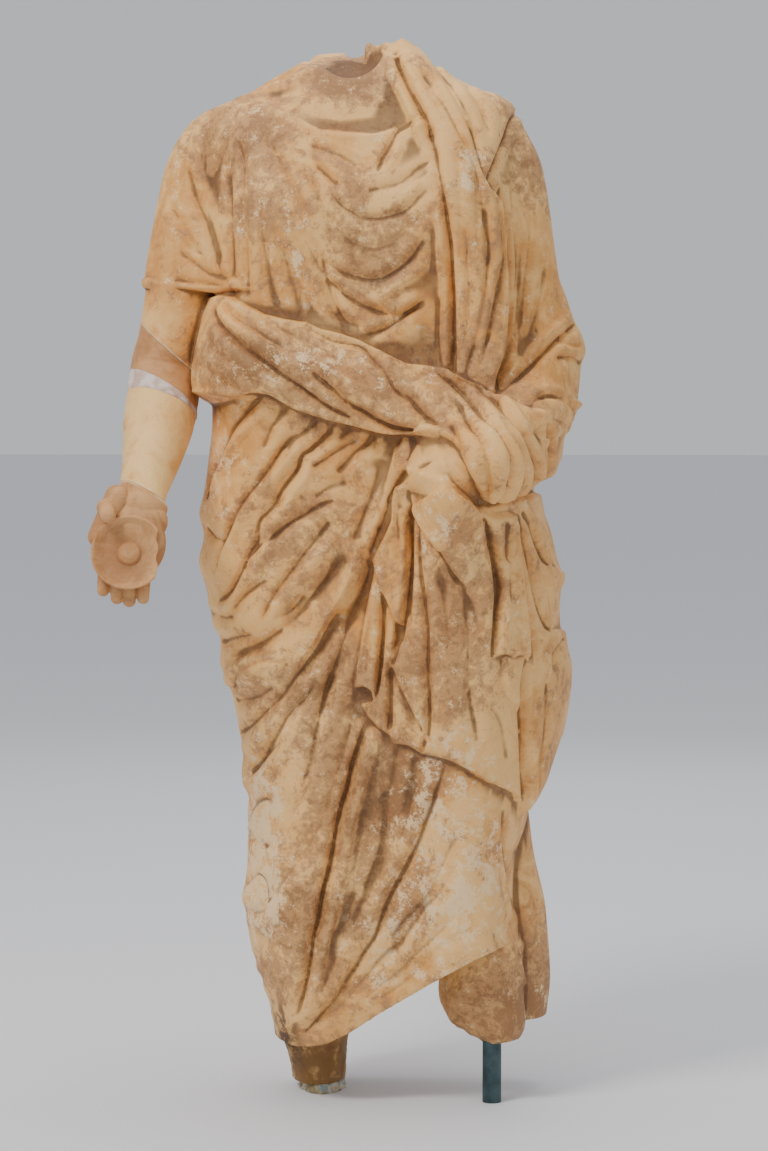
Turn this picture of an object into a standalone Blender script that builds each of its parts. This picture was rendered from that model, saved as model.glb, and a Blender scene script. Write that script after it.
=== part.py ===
"""Headless draped marble figure, life size, with a refitted right arm and a steel support rod.

The figure looks along -Y and +Z is up. The origin is the middle of the ankle bed's underside.
The figure's own right arm lies on the -X side. Its form and carving are laid out in shares of
its height: one share is a 150th of FIGURE_HEIGHT, which is a centimetre at full size.
"""
import math

import bmesh
import bpy
import numpy as np
from mathutils import Matrix, Vector

# Driving sizes in metres
FIGURE_HEIGHT = 1.50
ROD_DIAMETER = 0.027
ROD_DEPTH_IN_STONE = 0.060
MORTAR_THICKNESS = 0.014
MORTAR_WIDTH = 0.064
MORTAR_DEPTH = 0.112
CLEARANCE = 0.0003

# One share of the height, and the frame's place in shares
SHARE = FIGURE_HEIGHT / 150.0
BODY_BEHIND = -3.0
GROUND = -1.2
EYE = (19.2, -460.0, 105.3)

# Fineness of the solids
BODY_COLUMNS = 260
BODY_ROWS = 240
BODY_GRAIN = 0.0065
BODY_FACES = 7350
HAND_GRAIN = 0.0022
HAND_FACES = 960
LIMB_SIDES = 24
LIMB_RINGS = 18
ROUND_SIDES = 32

# Outline of the body and its cloth on the side of the right arm, as (height, x)
RIGHT_OUTLINE = [
    (4.0, -5.6), (6.0, -6.6), (9.3, -7.1), (12.7, -7.9), (15.5, -8.8), (18.8, -9.9), (21.0, -10.4),
    (24.9, -11.0), (27.5, -11.5), (30.0, -10.9), (37.0, -10.6), (41.5, -10.5), (45.0, -11.6),
    (48.0, -11.3), (52.4, -12.0), (57.9, -13.2), (61.5, -14.6), (64.4, -14.5), (67.0, -15.6),
    (71.8, -16.5), (76.0, -17.6), (79.5, -16.9), (82.7, -17.5), (86.0, -16.8), (91.0, -16.1),
    (96.0, -15.6), (98.6, -15.6), (99.9, -17.3), (103.8, -16.7), (109.3, -15.5), (114.4, -14.4),
    (115.3, -25.3), (119.7, -24.8), (125.9, -23.6), (131.1, -22.5), (135.0, -21.0), (138.2, -18.8),
    (139.9, -16.6), (141.3, -13.4), (142.4, -10.0), (144.1, -7.5), (146.0, -4.0), (147.3, -1.3),
    (148.2, 4.5), (149.2, 7.4),
]

# The same outline on the side of the covered left arm
LEFT_OUTLINE = [
    (4.0, 26.0), (10.0, 27.6), (20.0, 28.2), (28.0, 27.8), (34.0, 28.2), (37.5, 29.3), (42.0, 30.4),
    (45.3, 31.3), (48.0, 32.3), (52.4, 33.0), (57.0, 33.6), (60.0, 33.8), (63.5, 33.1),
    (68.9, 32.7), (73.4, 33.0), (76.3, 32.3), (79.9, 31.5), (82.5, 30.6), (86.0, 30.2),
    (88.0, 31.6), (90.4, 33.6), (94.2, 34.1), (95.4, 35.2), (97.6, 36.3), (101.4, 36.8),
    (103.9, 37.0), (106.2, 37.6), (108.5, 37.0), (110.2, 36.1), (113.3, 35.1), (116.6, 34.0),
    (120.7, 33.4), (127.8, 32.4), (131.6, 31.7), (133.8, 31.0), (136.0, 29.9), (138.2, 28.6),
    (139.8, 27.2), (141.2, 25.4), (142.6, 21.4), (143.7, 19.4), (145.3, 17.3), (147.8, 13.8),
    (149.2, 11.8),
]

# Lower edge of the long garment from right to left, as (share of the width, height)
HEM = [(0.0, 7.2), (0.08, 6.9), (0.2, 7.4), (0.33, 9.4), (0.46, 12.2), (0.6, 15.2), (0.75, 18.6),
       (0.9, 21.4), (1.0, 22.3)]

# Depth of the body in front of and behind its middle, as (height, depth)
FRONT_DEPTH = [(4.0, 10.5), (20.0, 11.5), (40.0, 12.0), (60.0, 12.6), (78.0, 13.2), (92.0, 12.6),
               (104.0, 12.0), (114.4, 12.2), (126.0, 12.2), (133.0, 11.2), (139.0, 9.4),
               (143.0, 7.8), (146.5, 6.4), (149.2, 4.0)]
BACK_DEPTH = [(4.0, 9.0), (20.0, 10.5), (40.0, 11.2), (60.0, 12.6), (76.0, 14.0), (90.0, 12.6),
              (102.0, 11.0), (114.4, 12.0), (127.0, 13.4), (135.0, 12.4), (140.0, 10.6),
              (144.0, 8.6), (147.0, 7.0), (149.2, 4.0)]

# How far in from each side the body reaches its full depth, as (height, distance)
RIGHT_CORNER = [(4.0, 9.0), (30.0, 11.0), (60.0, 13.0), (84.0, 12.0), (100.0, 9.0), (114.4, 6.5),
                (115.3, 14.0), (132.0, 15.0), (142.0, 12.0), (147.3, 6.0), (149.2, 2.0)]
LEFT_CORNER = [(4.0, 4.0), (22.0, 4.6), (36.0, 7.0), (60.0, 11.0), (84.0, 13.0), (100.0, 13.0),
               (114.4, 13.0), (132.0, 14.0), (141.0, 11.0), (147.3, 4.0), (149.2, 2.0)]
CHEST_CURVE = 0.07

# Large swellings of the form in front: (x, height, swelling, spread) along each run
FRONT_SWELLINGS = {
    "left forearm": [(34.0, 101.0, 2.0, 5.5), (29.5, 95.5, 6.5, 6.0), (25.0, 89.0, 10.0, 5.6),
                     (24.6, 86.5, 9.5, 4.6)],
    "left hand": [(18.0, 91.8, 5.6, 3.4), (16.6, 89.0, 7.2, 4.4), (16.8, 85.6, 5.8, 4.0),
                  (18.0, 79.0, 2.6, 3.2)],
    "waist roll": [(-18.0, 106.0, 1.6, 5.0), (-6.0, 103.6, 2.6, 4.6), (6.0, 101.0, 3.2, 4.6),
                   (16.0, 97.6, 4.2, 4.6), (22.0, 93.6, 5.6, 4.8)],
    "right thigh": [(-3.0, 88.0, 0.4, 9.0), (-5.5, 68.0, 1.6, 8.5), (-3.0, 44.0, 1.4, 7.5),
                    (-2.5, 18.0, 0.6, 6.0)],
    "left thigh": [(20.0, 78.0, 0.6, 9.0), (20.5, 60.0, 3.6, 8.5), (20.5, 46.0, 4.4, 8.0),
                   (20.5, 30.0, 3.6, 7.5), (21.0, 14.0, 3.0, 7.0)],
    "chest": [(-3.0, 126.0, 1.6, 8.0), (12.0, 126.0, 1.6, 8.0)],
    "belly": [(5.0, 88.0, 1.2, 9.0)],
    "shoulder cloth": [(13.0, 143.0, 1.6, 3.4), (18.0, 134.0, 1.9, 3.6), (21.0, 122.0, 1.8, 3.6),
                       (22.0, 104.0, 1.6, 3.6)],
    "cascade": [(21.0, 82.0, 2.2, 7.0), (17.0, 66.0, 2.6, 8.0), (15.0, 54.0, 2.0, 7.0)],
}
BACK_SWELLINGS = {
    "shoulder blades": [(-6.0, 130.0, 1.0, 7.0), (-5.0, 124.0, 0.8, 7.0)],
    "left shoulder blade": [(16.0, 130.0, 1.2, 7.0), (17.0, 124.0, 0.8, 7.0)],
    "seat": [(-2.0, 80.0, 1.8, 9.0), (14.0, 80.0, 1.8, 9.0)],
    "cloth over the back": [(14.0, 146.0, 0.8, 5.0), (6.0, 120.0, 1.2, 9.0), (-8.0, 104.0, 1.0, 8.0)],
}
SLEEVE_SLIMNESS = 0.60
CLOAK_ARM_SLIMNESS = 0.72

# Creases of the drapery as (depth, width, lean, points as seen from the front)
CREASES = [
    # Neckline and chest
    (0.9, 0.8, 0.3, [(14.6, 139.4), (10.7, 136.8), (8.3, 132.2)]),
    (0.7, 1.0, 0.3, [(-8.0, 140.8), (-3.0, 135.6), (5.3, 132.4)]),
    (0.7, 1.0, 0.0, [(5.8, 128.3), (9.4, 128.4), (15.5, 132.4)]),
    (0.8, 1.1, 0.0, [(1.5, 128.3), (8.8, 125.1), (14.8, 129.4)]),
    (1.1, 1.3, 0.0, [(0.0, 119.6), (6.6, 115.7), (13.0, 120.0), (15.4, 124.5)]),
    (1.2, 1.2, 0.0, [(0.6, 116.8), (8.2, 111.2), (14.2, 113.2)]),
    (0.8, 0.9, 0.0, [(6.4, 107.9), (10.9, 109.9), (14.0, 112.2)]),
    (0.7, 1.1, 0.2, [(-8.0, 137.0), (-3.6, 127.0), (3.6, 108.6)]),
    (0.6, 1.0, -0.2, [(-3.0, 124.2), (0.2, 118.0), (2.6, 110.0)]),
    (0.9, 1.0, 0.0, [(-12.4, 133.0), (-11.2, 124.0), (-11.0, 114.5)]),
    (0.6, 0.9, 0.0, [(-8.8, 126.0), (-7.7, 120.0), (-6.0, 112.4)]),
    # Right sleeve
    (0.8, 1.0, 0.0, [(-18.8, 131.6), (-17.3, 126.4), (-14.1, 117.0)]),
    (0.8, 0.9, 0.2, [(-23.0, 124.6), (-18.6, 120.6), (-15.0, 117.0)]),
    (0.7, 0.9, 0.2, [(-23.0, 120.4), (-18.6, 119.0), (-14.0, 116.4)]),
    (0.6, 1.1, 0.0, [(-15.9, 139.0), (-14.4, 132.0), (-13.2, 118.0)]),
    # Band of cloth over the left shoulder
    (1.6, 0.9, -0.3, [(10.9, 147.3), (13.5, 142.3), (16.4, 134.6), (17.7, 126.4), (19.0, 115.2),
                      (19.3, 103.8)]),
    (0.9, 0.9, 0.0, [(14.6, 143.9), (19.8, 137.1), (23.3, 130.0), (25.0, 120.0), (23.6, 109.8),
                     (22.1, 102.2)]),
    (0.7, 0.8, 0.0, [(16.2, 144.5), (20.9, 137.4), (22.4, 131.0)]),
    (0.8, 0.8, 0.0, [(23.1, 126.0), (22.9, 116.1), (20.8, 102.8)]),
    (2.4, 1.3, 0.0, [(25.6, 132.6), (26.3, 122.0), (26.5, 110.0), (25.2, 100.2)]),
    (0.8, 1.0, 0.0, [(29.2, 128.4), (28.6, 114.7), (26.2, 100.8)]),
    (0.6, 1.0, 0.0, [(31.3, 124.0), (30.2, 112.0), (27.6, 102.0)]),
    # Roll of cloth round the waist
    (1.5, 0.9, 0.2, [(-13.8, 111.4), (-11.5, 107.2), (-4.2, 102.0), (5.0, 97.0)]),
    (1.3, 0.9, 0.2, [(-1.2, 102.8), (3.9, 99.3), (9.9, 96.1), (15.5, 94.3)]),
    (0.9, 0.9, 0.0, [(-3.8, 109.8), (1.9, 106.9), (6.4, 105.2), (10.7, 100.1), (17.3, 94.6)]),
    (0.8, 0.9, 0.0, [(-12.6, 112.0), (-9.5, 108.7), (-5.6, 105.8)]),
    (0.8, 1.0, 0.0, [(-14.2, 103.2), (-10.6, 100.8), (-6.0, 100.0)]),
    (1.1, 0.9, 0.0, [(15.8, 102.6), (19.7, 99.2), (24.9, 93.1), (25.9, 89.2), (24.2, 84.6)]),
    (0.9, 0.9, 0.0, [(19.9, 96.9), (22.8, 92.6), (23.7, 88.0), (22.8, 84.6)]),
    (1.3, 0.9, 0.0, [(24.2, 99.0), (27.1, 94.2), (29.6, 88.8), (28.4, 85.0)]),
    # Left elbow
    (1.2, 1.0, 0.0, [(27.5, 101.8), (31.4, 105.2), (36.3, 109.7)]),
    (0.9, 0.9, 0.0, [(34.6, 105.3), (37.2, 104.0)]),
    (0.9, 0.9, 0.0, [(31.0, 99.1), (34.0, 99.1), (36.0, 97.0)]),
    (1.6, 1.2, 0.0, [(30.8, 96.4), (32.2, 92.0), (31.2, 87.6)]),
    # Pull of the cloth from the right hip up to the waist
    (1.2, 1.2, 0.2, [(-8.2, 99.6), (-12.8, 95.0), (-15.8, 87.6)]),
    (1.1, 1.1, 0.2, [(-5.1, 92.6), (-10.6, 86.0), (-14.0, 79.5), (-15.9, 74.0)]),
    (1.3, 1.1, 0.2, [(1.9, 95.4), (-3.5, 89.0), (-9.0, 81.4), (-13.0, 71.3)]),
    (0.7, 0.8, 0.0, [(-0.4, 96.2), (-4.9, 91.4)]),
    (0.8, 0.9, 0.2, [(7.9, 94.3), (2.0, 88.4)]),
    (0.9, 1.0, 0.2, [(0.4, 84.0), (-6.9, 79.4), (-10.6, 76.2)]),
    (0.8, 0.9, 0.2, [(-0.3, 79.5), (-5.6, 72.7), (-8.9, 67.6)]),
    (1.5, 2.0, 0.2, [(5.0, 78.0), (0.5, 72.4), (-6.6, 65.3), (-13.4, 62.0)]),
    (1.4, 1.6, 0.2, [(4.4, 72.0), (-0.8, 62.7), (-6.0, 56.3), (-12.0, 51.0)]),
    (1.3, 1.6, 0.0, [(7.6, 76.9), (5.0, 69.2), (1.1, 58.2), (-1.6, 47.4)]),
    (1.0, 0.9, 0.0, [(-4.4, 60.6), (-10.2, 60.8), (-12.6, 57.0)]),
    (1.0, 1.4, 0.2, [(-0.5, 59.2), (-4.4, 54.0), (-11.4, 45.2)]),
    (1.1, 1.2, 0.0, [(11.8, 90.2), (9.5, 83.1), (7.3, 76.6)]),
    # Skirt below the knee
    (2.4, 1.3, 0.2, [(6.7, 53.0), (4.0, 44.4), (1.6, 33.8), (-0.6, 23.4), (-3.7, 10.8)]),
    (1.3, 1.1, 0.3, [(17.8, 46.5), (13.8, 35.1), (9.0, 25.0), (3.0, 13.7), (-3.6, 7.1)]),
    (1.0, 1.6, 0.2, [(0.0, 37.6), (-5.8, 29.4), (-10.6, 24.6)]),
    (0.9, 1.3, 0.2, [(19.5, 35.8), (14.8, 26.9), (8.7, 18.2), (-0.8, 8.3)]),
    (0.8, 1.2, 0.2, [(19.8, 25.0), (14.4, 19.9), (5.0, 11.2)]),
    (0.8, 1.6, 0.0, [(9.0, 37.6), (6.5, 28.1), (0.8, 18.0), (-1.4, 10.7)]),
    (0.9, 0.9, 0.0, [(-7.4, 41.3), (-10.0, 40.2), (-10.7, 36.7)]),
    (0.8, 1.0, 0.0, [(-7.1, 18.9), (-8.8, 15.4)]),
    # Cascade below the left hand
    (1.8, 1.0, 0.0, [(13.8, 84.0), (14.6, 76.0), (15.6, 62.0), (15.6, 49.4)]),
    (1.4, 1.0, 0.3, [(13.4, 82.0), (12.9, 74.0), (12.1, 66.0)]),
    (1.5, 0.9, 0.0, [(9.4, 71.0), (9.0, 62.0), (8.3, 56.8)]),
    (1.3, 0.9, 0.0, [(11.0, 60.4), (10.6, 51.0)]),
    (0.9, 0.8, 0.0, [(15.0, 81.8), (18.5, 75.3), (20.4, 70.0)]),
    (1.2, 0.9, 0.0, [(22.2, 83.1), (24.2, 73.5), (23.8, 62.0)]),
    (1.2, 0.9, 0.0, [(26.4, 82.7), (27.7, 71.5), (28.5, 61.8)]),
    (1.2, 1.0, 0.0, [(27.5, 83.4), (29.8, 77.9), (31.2, 74.6)]),
    (1.0, 0.9, 0.0, [(26.9, 82.7), (29.1, 72.7), (31.6, 64.2)]),
    (1.4, 0.9, 0.0, [(27.7, 61.0), (27.8, 50.5), (28.3, 40.4)]),
]

# Layers of cloth that lie on what is behind: (thickness, edge, outline as seen from the front)
LAYERS = {
    "bare neck": (-0.45, 0.5, [
        (-8.6, 142.0), (-6.3, 140.4), (-3.5, 138.7), (0.2, 137.3), (4.3, 136.9), (7.2, 136.7),
        (9.2, 137.0), (10.9, 137.5), (14.4, 140.0), (13.5, 142.3), (12.2, 145.0), (10.9, 147.3),
        (8.0, 151.0), (0.0, 151.0), (-1.5, 147.0), (-2.5, 145.0), (-5.0, 143.8)]),
    "column of the neck": (1.0, 1.6, [
        (-1.7, 151.0), (-1.6, 146.4), (-1.0, 143.6), (0.2, 141.4), (2.6, 140.0), (6.4, 140.0),
        (9.0, 141.4), (10.4, 144.0), (11.0, 147.0), (11.0, 151.0)]),
    "right shoulder border": (0.35, 0.5, [
        (-12.0, 141.4), (-8.2, 142.2), (-6.0, 143.5), (-4.2, 144.3), (-2.5, 145.0), (-1.6, 145.6),
        (-1.6, 149.0), (-8.0, 147.0), (-13.0, 143.0)]),
    "waist roll": (1.9, 0.45, [
        (-19.0, 99.9), (-13.5, 99.7), (-10.0, 100.1), (-7.3, 100.0), (-5.6, 99.0), (-3.8, 97.9),
        (-2.2, 97.5), (-0.5, 96.9), (1.7, 96.3), (4.4, 95.7), (9.9, 94.5), (12.1, 94.1),
        (14.1, 93.7), (17.5, 93.3), (18.9, 92.6), (20.1, 91.4), (21.1, 89.5), (21.8, 87.5),
        (22.1, 85.6), (22.2, 84.4), (22.8, 83.5), (24.0, 83.0), (25.2, 83.3), (27.3, 83.9),
        (28.3, 84.5), (29.4, 85.8), (31.0, 88.0), (31.0, 97.0), (25.1, 99.2), (21.8, 101.1),
        (19.9, 102.1), (18.5, 103.1), (16.1, 103.5), (12.1, 103.9), (9.9, 105.0), (7.7, 106.1),
        (5.5, 107.4), (2.4, 108.5), (0.0, 109.1), (-2.0, 110.1), (-5.1, 110.6), (-7.8, 111.3),
        (-10.6, 112.7), (-12.4, 113.6), (-19.0, 114.0)]),
    "cascade": (1.5, 0.45, [
        (12.6, 90.0), (13.8, 84.0), (13.5, 76.0), (12.9, 70.0), (12.2, 65.5), (11.5, 62.5),
        (10.8, 60.5), (11.4, 58.5), (12.6, 56.0), (13.9, 53.6), (14.9, 51.4), (15.2, 49.6),
        (14.5, 48.2), (16.2, 47.9), (18.2, 47.2), (20.1, 46.3), (22.0, 45.0), (23.6, 44.0),
        (25.3, 43.3), (26.9, 42.4), (27.9, 41.0), (28.5, 39.0), (31.0, 44.0), (36.0, 60.0),
        (36.0, 76.0), (31.0, 86.0), (22.0, 84.0), (18.0, 88.0)]),
    "lens fold": (0.7, 0.35, [
        (12.2, 64.5), (13.4, 63.6), (14.6, 62.6), (15.3, 60.2), (15.5, 56.0), (15.4, 51.0),
        (15.0, 49.0), (14.4, 48.2), (14.0, 49.6), (14.9, 52.0), (13.6, 54.6), (12.4, 57.0),
        (11.4, 59.6), (10.4, 60.8), (10.2, 62.2), (10.9, 63.6)]),
    "third strip": (1.25, 0.4, [
        (9.0, 72.0), (9.3, 70.6), (10.3, 69.0), (11.3, 67.2), (10.9, 63.4), (10.1, 60.0),
        (9.9, 55.0), (9.9, 50.8), (8.3, 51.9), (6.8, 53.4), (6.0, 55.2), (7.9, 56.0),
        (8.4, 57.0), (8.7, 61.0), (9.0, 66.0)]),
    "second strip": (1.5, 0.35, [
        (7.7, 75.5), (7.0, 71.6), (6.2, 67.0), (5.5, 62.6), (4.9, 58.4), (4.9, 57.6), (6.2, 57.8),
        (7.3, 57.1), (7.6, 55.7), (6.2, 54.9), (7.2, 54.9), (8.1, 55.8), (8.2, 57.6), (8.6, 62.0),
        (9.0, 67.0), (9.1, 71.0)]),
    "first strip": (2.1, 0.35, [
        (12.9, 88.5), (11.6, 87.0), (10.8, 84.8), (10.2, 81.6), (8.6, 78.4), (7.3, 75.9),
        (7.8, 74.2), (8.6, 72.2), (9.4, 70.4), (10.4, 68.4), (11.4, 66.8), (12.0, 66.5),
        (12.4, 69.0), (12.8, 73.0), (13.2, 78.0), (13.6, 82.0), (13.8, 84.4), (13.4, 87.0)]),
    "fall under the hand": (1.1, 0.5, [
        (14.0, 84.2), (15.8, 81.0), (17.2, 78.0), (18.6, 75.2), (20.0, 72.4), (21.2, 71.0),
        (22.6, 74.0), (22.6, 80.0), (22.3, 84.0), (18.0, 87.0)]),
    "hanging fold": (1.5, 0.35, [
        (22.2, 83.6), (22.5, 80.5), (23.3, 76.9), (24.1, 74.0), (24.4, 72.0), (24.2, 69.5),
        (24.0, 65.6), (23.9, 62.1), (25.1, 62.4), (26.1, 61.9), (26.9, 62.4), (28.5, 61.5),
        (28.3, 65.0), (27.7, 71.5), (27.2, 75.6), (26.7, 79.5), (26.4, 83.6)]),
    "shoulder band": (1.2, 0.4, [
        (10.4, 150.5), (11.0, 147.3), (12.2, 144.9), (13.5, 142.3), (14.6, 140.1), (15.4, 138.2),
        (16.4, 134.6), (16.9, 131.6), (17.5, 128.4), (18.1, 124.3), (18.7, 121.3), (18.9, 118.0),
        (19.2, 112.0), (19.3, 101.0), (25.0, 99.5), (25.7, 108.0), (25.8, 114.0), (25.7, 122.0),
        (25.2, 127.0), (23.4, 130.3), (22.6, 131.8), (21.6, 135.0), (20.8, 138.2), (19.4, 141.0),
        (17.0, 144.6), (13.8, 148.6)]),
    "shoulder corner": (1.1, 0.35, [
        (16.0, 146.6), (19.0, 144.2), (23.9, 142.4), (27.6, 141.7), (28.0, 140.7), (27.5, 139.6),
        (26.6, 138.4), (25.8, 136.3), (25.0, 134.4), (24.1, 132.3), (23.2, 130.2), (22.2, 132.6),
        (21.0, 136.6), (18.6, 141.0)]),
    "sleeve border": (0.45, 0.3, [
        (-27.0, 116.5), (-23.5, 116.5), (-21.0, 116.1), (-18.6, 115.6), (-16.0, 115.1),
        (-12.8, 114.9), (-12.8, 113.6), (-27.0, 113.6)]),
    "cuff of the left arm": (0.9, 0.5, [
        (29.6, 97.4), (30.6, 95.5), (30.6, 91.9), (31.0, 89.4), (30.4, 87.0), (33.0, 88.4),
        (34.6, 91.8), (35.6, 95.6), (37.0, 99.0), (34.0, 99.4), (31.0, 99.2)]),
}

# Upright folds of the cloak on the back and sides: (depth, width, points as turn and height)
ROUND_CREASES = [
    (1.4, 1.6, [(118.0, 122.0), (122.0, 90.0), (120.0, 50.0), (112.0, 26.0)]),
    (1.2, 1.5, [(134.0, 136.0), (140.0, 100.0), (142.0, 60.0), (138.0, 26.0)]),
    (1.1, 1.5, [(150.0, 140.0), (160.0, 108.0), (164.0, 66.0), (160.0, 24.0)]),
    (1.1, 1.6, [(128.0, 139.0), (176.0, 124.0), (228.0, 108.0), (262.0, 100.0)]),
    (1.0, 1.5, [(134.0, 132.0), (180.0, 116.0), (230.0, 101.0), (266.0, 92.0)]),
    (1.0, 1.6, [(150.0, 118.0), (190.0, 103.0), (236.0, 88.0), (266.0, 80.0)]),
    (1.0, 1.7, [(160.0, 100.0), (200.0, 86.0), (240.0, 72.0), (266.0, 66.0)]),
    (1.0, 1.7, [(172.0, 82.0), (208.0, 66.0), (244.0, 54.0), (268.0, 48.0)]),
    (1.0, 1.7, [(180.0, 60.0), (216.0, 44.0), (250.0, 34.0)]),
    (0.9, 1.6, [(190.0, 40.0), (222.0, 26.0), (254.0, 18.0)]),
    (1.0, 1.4, [(104.0, 116.0), (100.0, 86.0), (98.0, 48.0)]),
]

# Limbs as stations of (x, y, height, half width, half depth)
RIGHT_ARM = [(-18.6, 0.4, 124.0, 5.0, 5.2), (-20.0, 0.5, 114.0, 5.2, 5.6),
             (-21.2, 0.8, 108.0, 5.0, 5.6), (-22.2, 0.7, 103.5, 5.1, 5.8),
             (-22.6, -1.5, 99.5, 5.15, 5.6), (-22.8, -5.5, 96.0, 5.0, 5.1),
             (-23.1, -10.0, 92.5, 4.4, 4.5), (-23.5, -14.5, 89.2, 3.7, 3.8),
             (-23.9, -18.0, 86.7, 3.35, 3.1), (-24.1, -20.0, 85.0, 3.4, 2.8)]
NECK = [(4.6, 1.0, 132.0, 8.0, 7.0), (4.0, 0.6, 139.0, 6.6, 6.6), (3.2, 0.2, 144.0, 5.2, 6.3),
        (2.8, 0.4, 149.6, 4.6, 6.2)]
LEFT_LEG = [(22.0, -2.0, 32.0, 5.0, 5.5), (22.8, -2.8, 21.0, 6.0, 6.2),
            (23.4, -3.6, 14.0, 6.3, 6.6), (24.9, -4.6, 11.0, 4.9, 5.9),
            (25.8, -5.2, 9.0, 3.8, 4.9), (26.1, -5.4, 7.3, 2.5, 3.4)]
SIDE_CLOTH = [(27.0, 3.0, 44.0, 2.4, 4.0), (27.2, 3.0, 34.0, 3.4, 5.4), (28.0, 3.0, 24.0, 4.6, 6.2),
              (28.6, 3.0, 16.0, 4.6, 6.2), (28.8, 3.0, 9.6, 3.9, 5.4)]
RIGHT_LEG = [(-1.0, 2.0, 24.0, 6.0, 6.5), (-1.2, 2.6, 10.0, 5.3, 6.2), (-0.8, 3.0, 4.0, 4.3, 6.0),
             (-0.4, 3.0, -1.2, 3.6, 5.8)]

# Planes across the right arm as (x, y, height, normal): two breaks, the plaster and the wrist
UPPER_BREAK = ((-21.5, 0.0, 106.1), (0.66, 0.0, 0.75))
PLASTER_TOP = ((-23.0, 0.0, 99.8), (0.70, 0.42, 1.0))
PLASTER_FOOT = ((-23.15, 0.0, 97.3), (0.40, 0.42, 1.0))
WRIST = ((-23.7, -18.0, 86.0), (0.64, 0.43, 1.0))

# Broken top of the neck: (x, y, height) of its middle, its rise towards the back and its right
# and left ends
NECK_BREAK = ((2.4, 0.0, 147.1), 0.32, (-4.0, 6.3))
NECK_BREAK_ROOM = 12.0
NECK_SCOOP = ((4.4, -9.4, 149.4), (4.4, 5.4, 4.7))

# Underside of the garment inside its hem, as rings of (share inwards, height above the hem)
UNDERSIDE = [(0.55, 3.2), (0.07, 1.4), (0.05, 0.2)]
UNDERSIDE_MIDDLE = 3.4
GROUND_ROOM = 0.40
CREASE_STRENGTH = 1.2

# How far the stone arm is grown past its break before it is cut, and the room round lost parts
ARM_STUB = 0.8
ARM_FREEDOM = 0.5

# The hand in shares of the height: a shallow bowl held before the palm
BOWL_SPOT = (-25.3, -24.6, 78.6)
BOWL_RADIUS = 5.2
BOWL_TILT = math.radians(16.0)
BOWL_THICK = 1.5
BOWL_BREAK = 3.9
BOWL_BREAK_WAVE = 0.15
BOWL_SIDES = 48
# Section of the bowl from the middle of its back over the rim to the boss, as (share of the
# radius, share of the thickness behind the rim)
BOWL_PROFILE = [(0.0, 1.0), (0.45, 0.92), (0.86, 0.55), (1.0, 0.0), (0.97, -0.12), (0.9, -0.02),
                (0.8, 0.26), (0.5, 0.5), (0.32, 0.54), (0.28, 0.3), (0.14, 0.14), (0.0, 0.12)]
PALM = ((-25.0, -22.2, 79.8), (4.6, 2.1, 5.2))
WRIST_BALLS = [((-23.9, -18.2, 86.6), (3.3, 3.0, 2.8)), ((-24.0, -19.6, 84.6), (3.7, 2.9, 3.0)),
               ((-24.6, -21.2, 82.6), (4.4, 2.6, 3.2))]
THUMB = ((-27.2, -21.0, 86.0), (-29.6, -22.6, 80.6), 1.7, 1.5)
THUMB_TIP = ((-28.6, -22.6, 84.6), (-28.0, -24.8, 83.6), 1.25, 1.05)
FINGERS = [((-28.6, -23.0, 77.0), (-28.9, -23.4, 73.3), 1.1, 0.85),
           ((-27.0, -23.0, 76.0), (-27.0, -23.6, 72.3), 1.15, 0.9),
           ((-25.2, -23.0, 76.0), (-25.3, -23.8, 71.9), 1.15, 0.9),
           ((-23.4, -23.0, 76.0), (-23.4, -23.8, 72.3), 1.1, 0.85)]

# Places of the rod and the ankle in shares of the height
ROD_SPOT = (24.6, -6.9)
ANKLE_SPOT = (0.0, 3.0)

COLOURS = {
    "statue": ((0.62, 0.42, 0.24), 0.62, 0.0),
    "elbow_fragment": ((0.44, 0.29, 0.16), 0.66, 0.0),
    "plaster_fill": ((0.62, 0.52, 0.45), 0.85, 0.0),
    "forearm": ((0.64, 0.47, 0.28), 0.55, 0.0),
    "hand_with_patera": ((0.42, 0.28, 0.16), 0.66, 0.0),
    "ankle_mortar": ((0.30, 0.26, 0.16), 0.90, 0.0),
    "support_rod": ((0.035, 0.065, 0.07), 0.42, 1.0),
}


def clear_scene():
    for old in list(bpy.data.objects):
        bpy.data.objects.remove(old, do_unlink=True)


def place(x, y, height):
    """World place in metres of a point given in shares of the height."""
    return Vector((x * SHARE, (y + BODY_BEHIND) * SHARE, (height - GROUND) * SHARE))


def follow(pairs, at):
    """Smooth curve through (place, value) pairs without overshoot, read at the given places."""
    knots, values = np.array(pairs, dtype=float).T
    run = np.diff(knots)
    rise = np.diff(values) / run
    before, after = rise[:-1], rise[1:]
    slope = np.concatenate(([rise[0]], np.zeros(len(run) - 1), [rise[-1]]))
    same_way = before * after > 0.0
    total = np.where(same_way, before + after, 1.0)
    slope[1:-1] = np.where(same_way, 2.0 * before * after / total, 0.0)
    at = np.clip(at, knots[0], knots[-1])
    span = np.clip(np.searchsorted(knots, at, side="right") - 1, 0, len(run) - 1)
    part = (at - knots[span]) / run[span]
    rest = 1.0 - part
    return (values[span] * rest * rest * (1.0 + 2.0 * part)
            + values[span + 1] * part * part * (3.0 - 2.0 * part)
            + run[span] * part * rest * (slope[span] * rest - slope[span + 1] * part))


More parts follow.
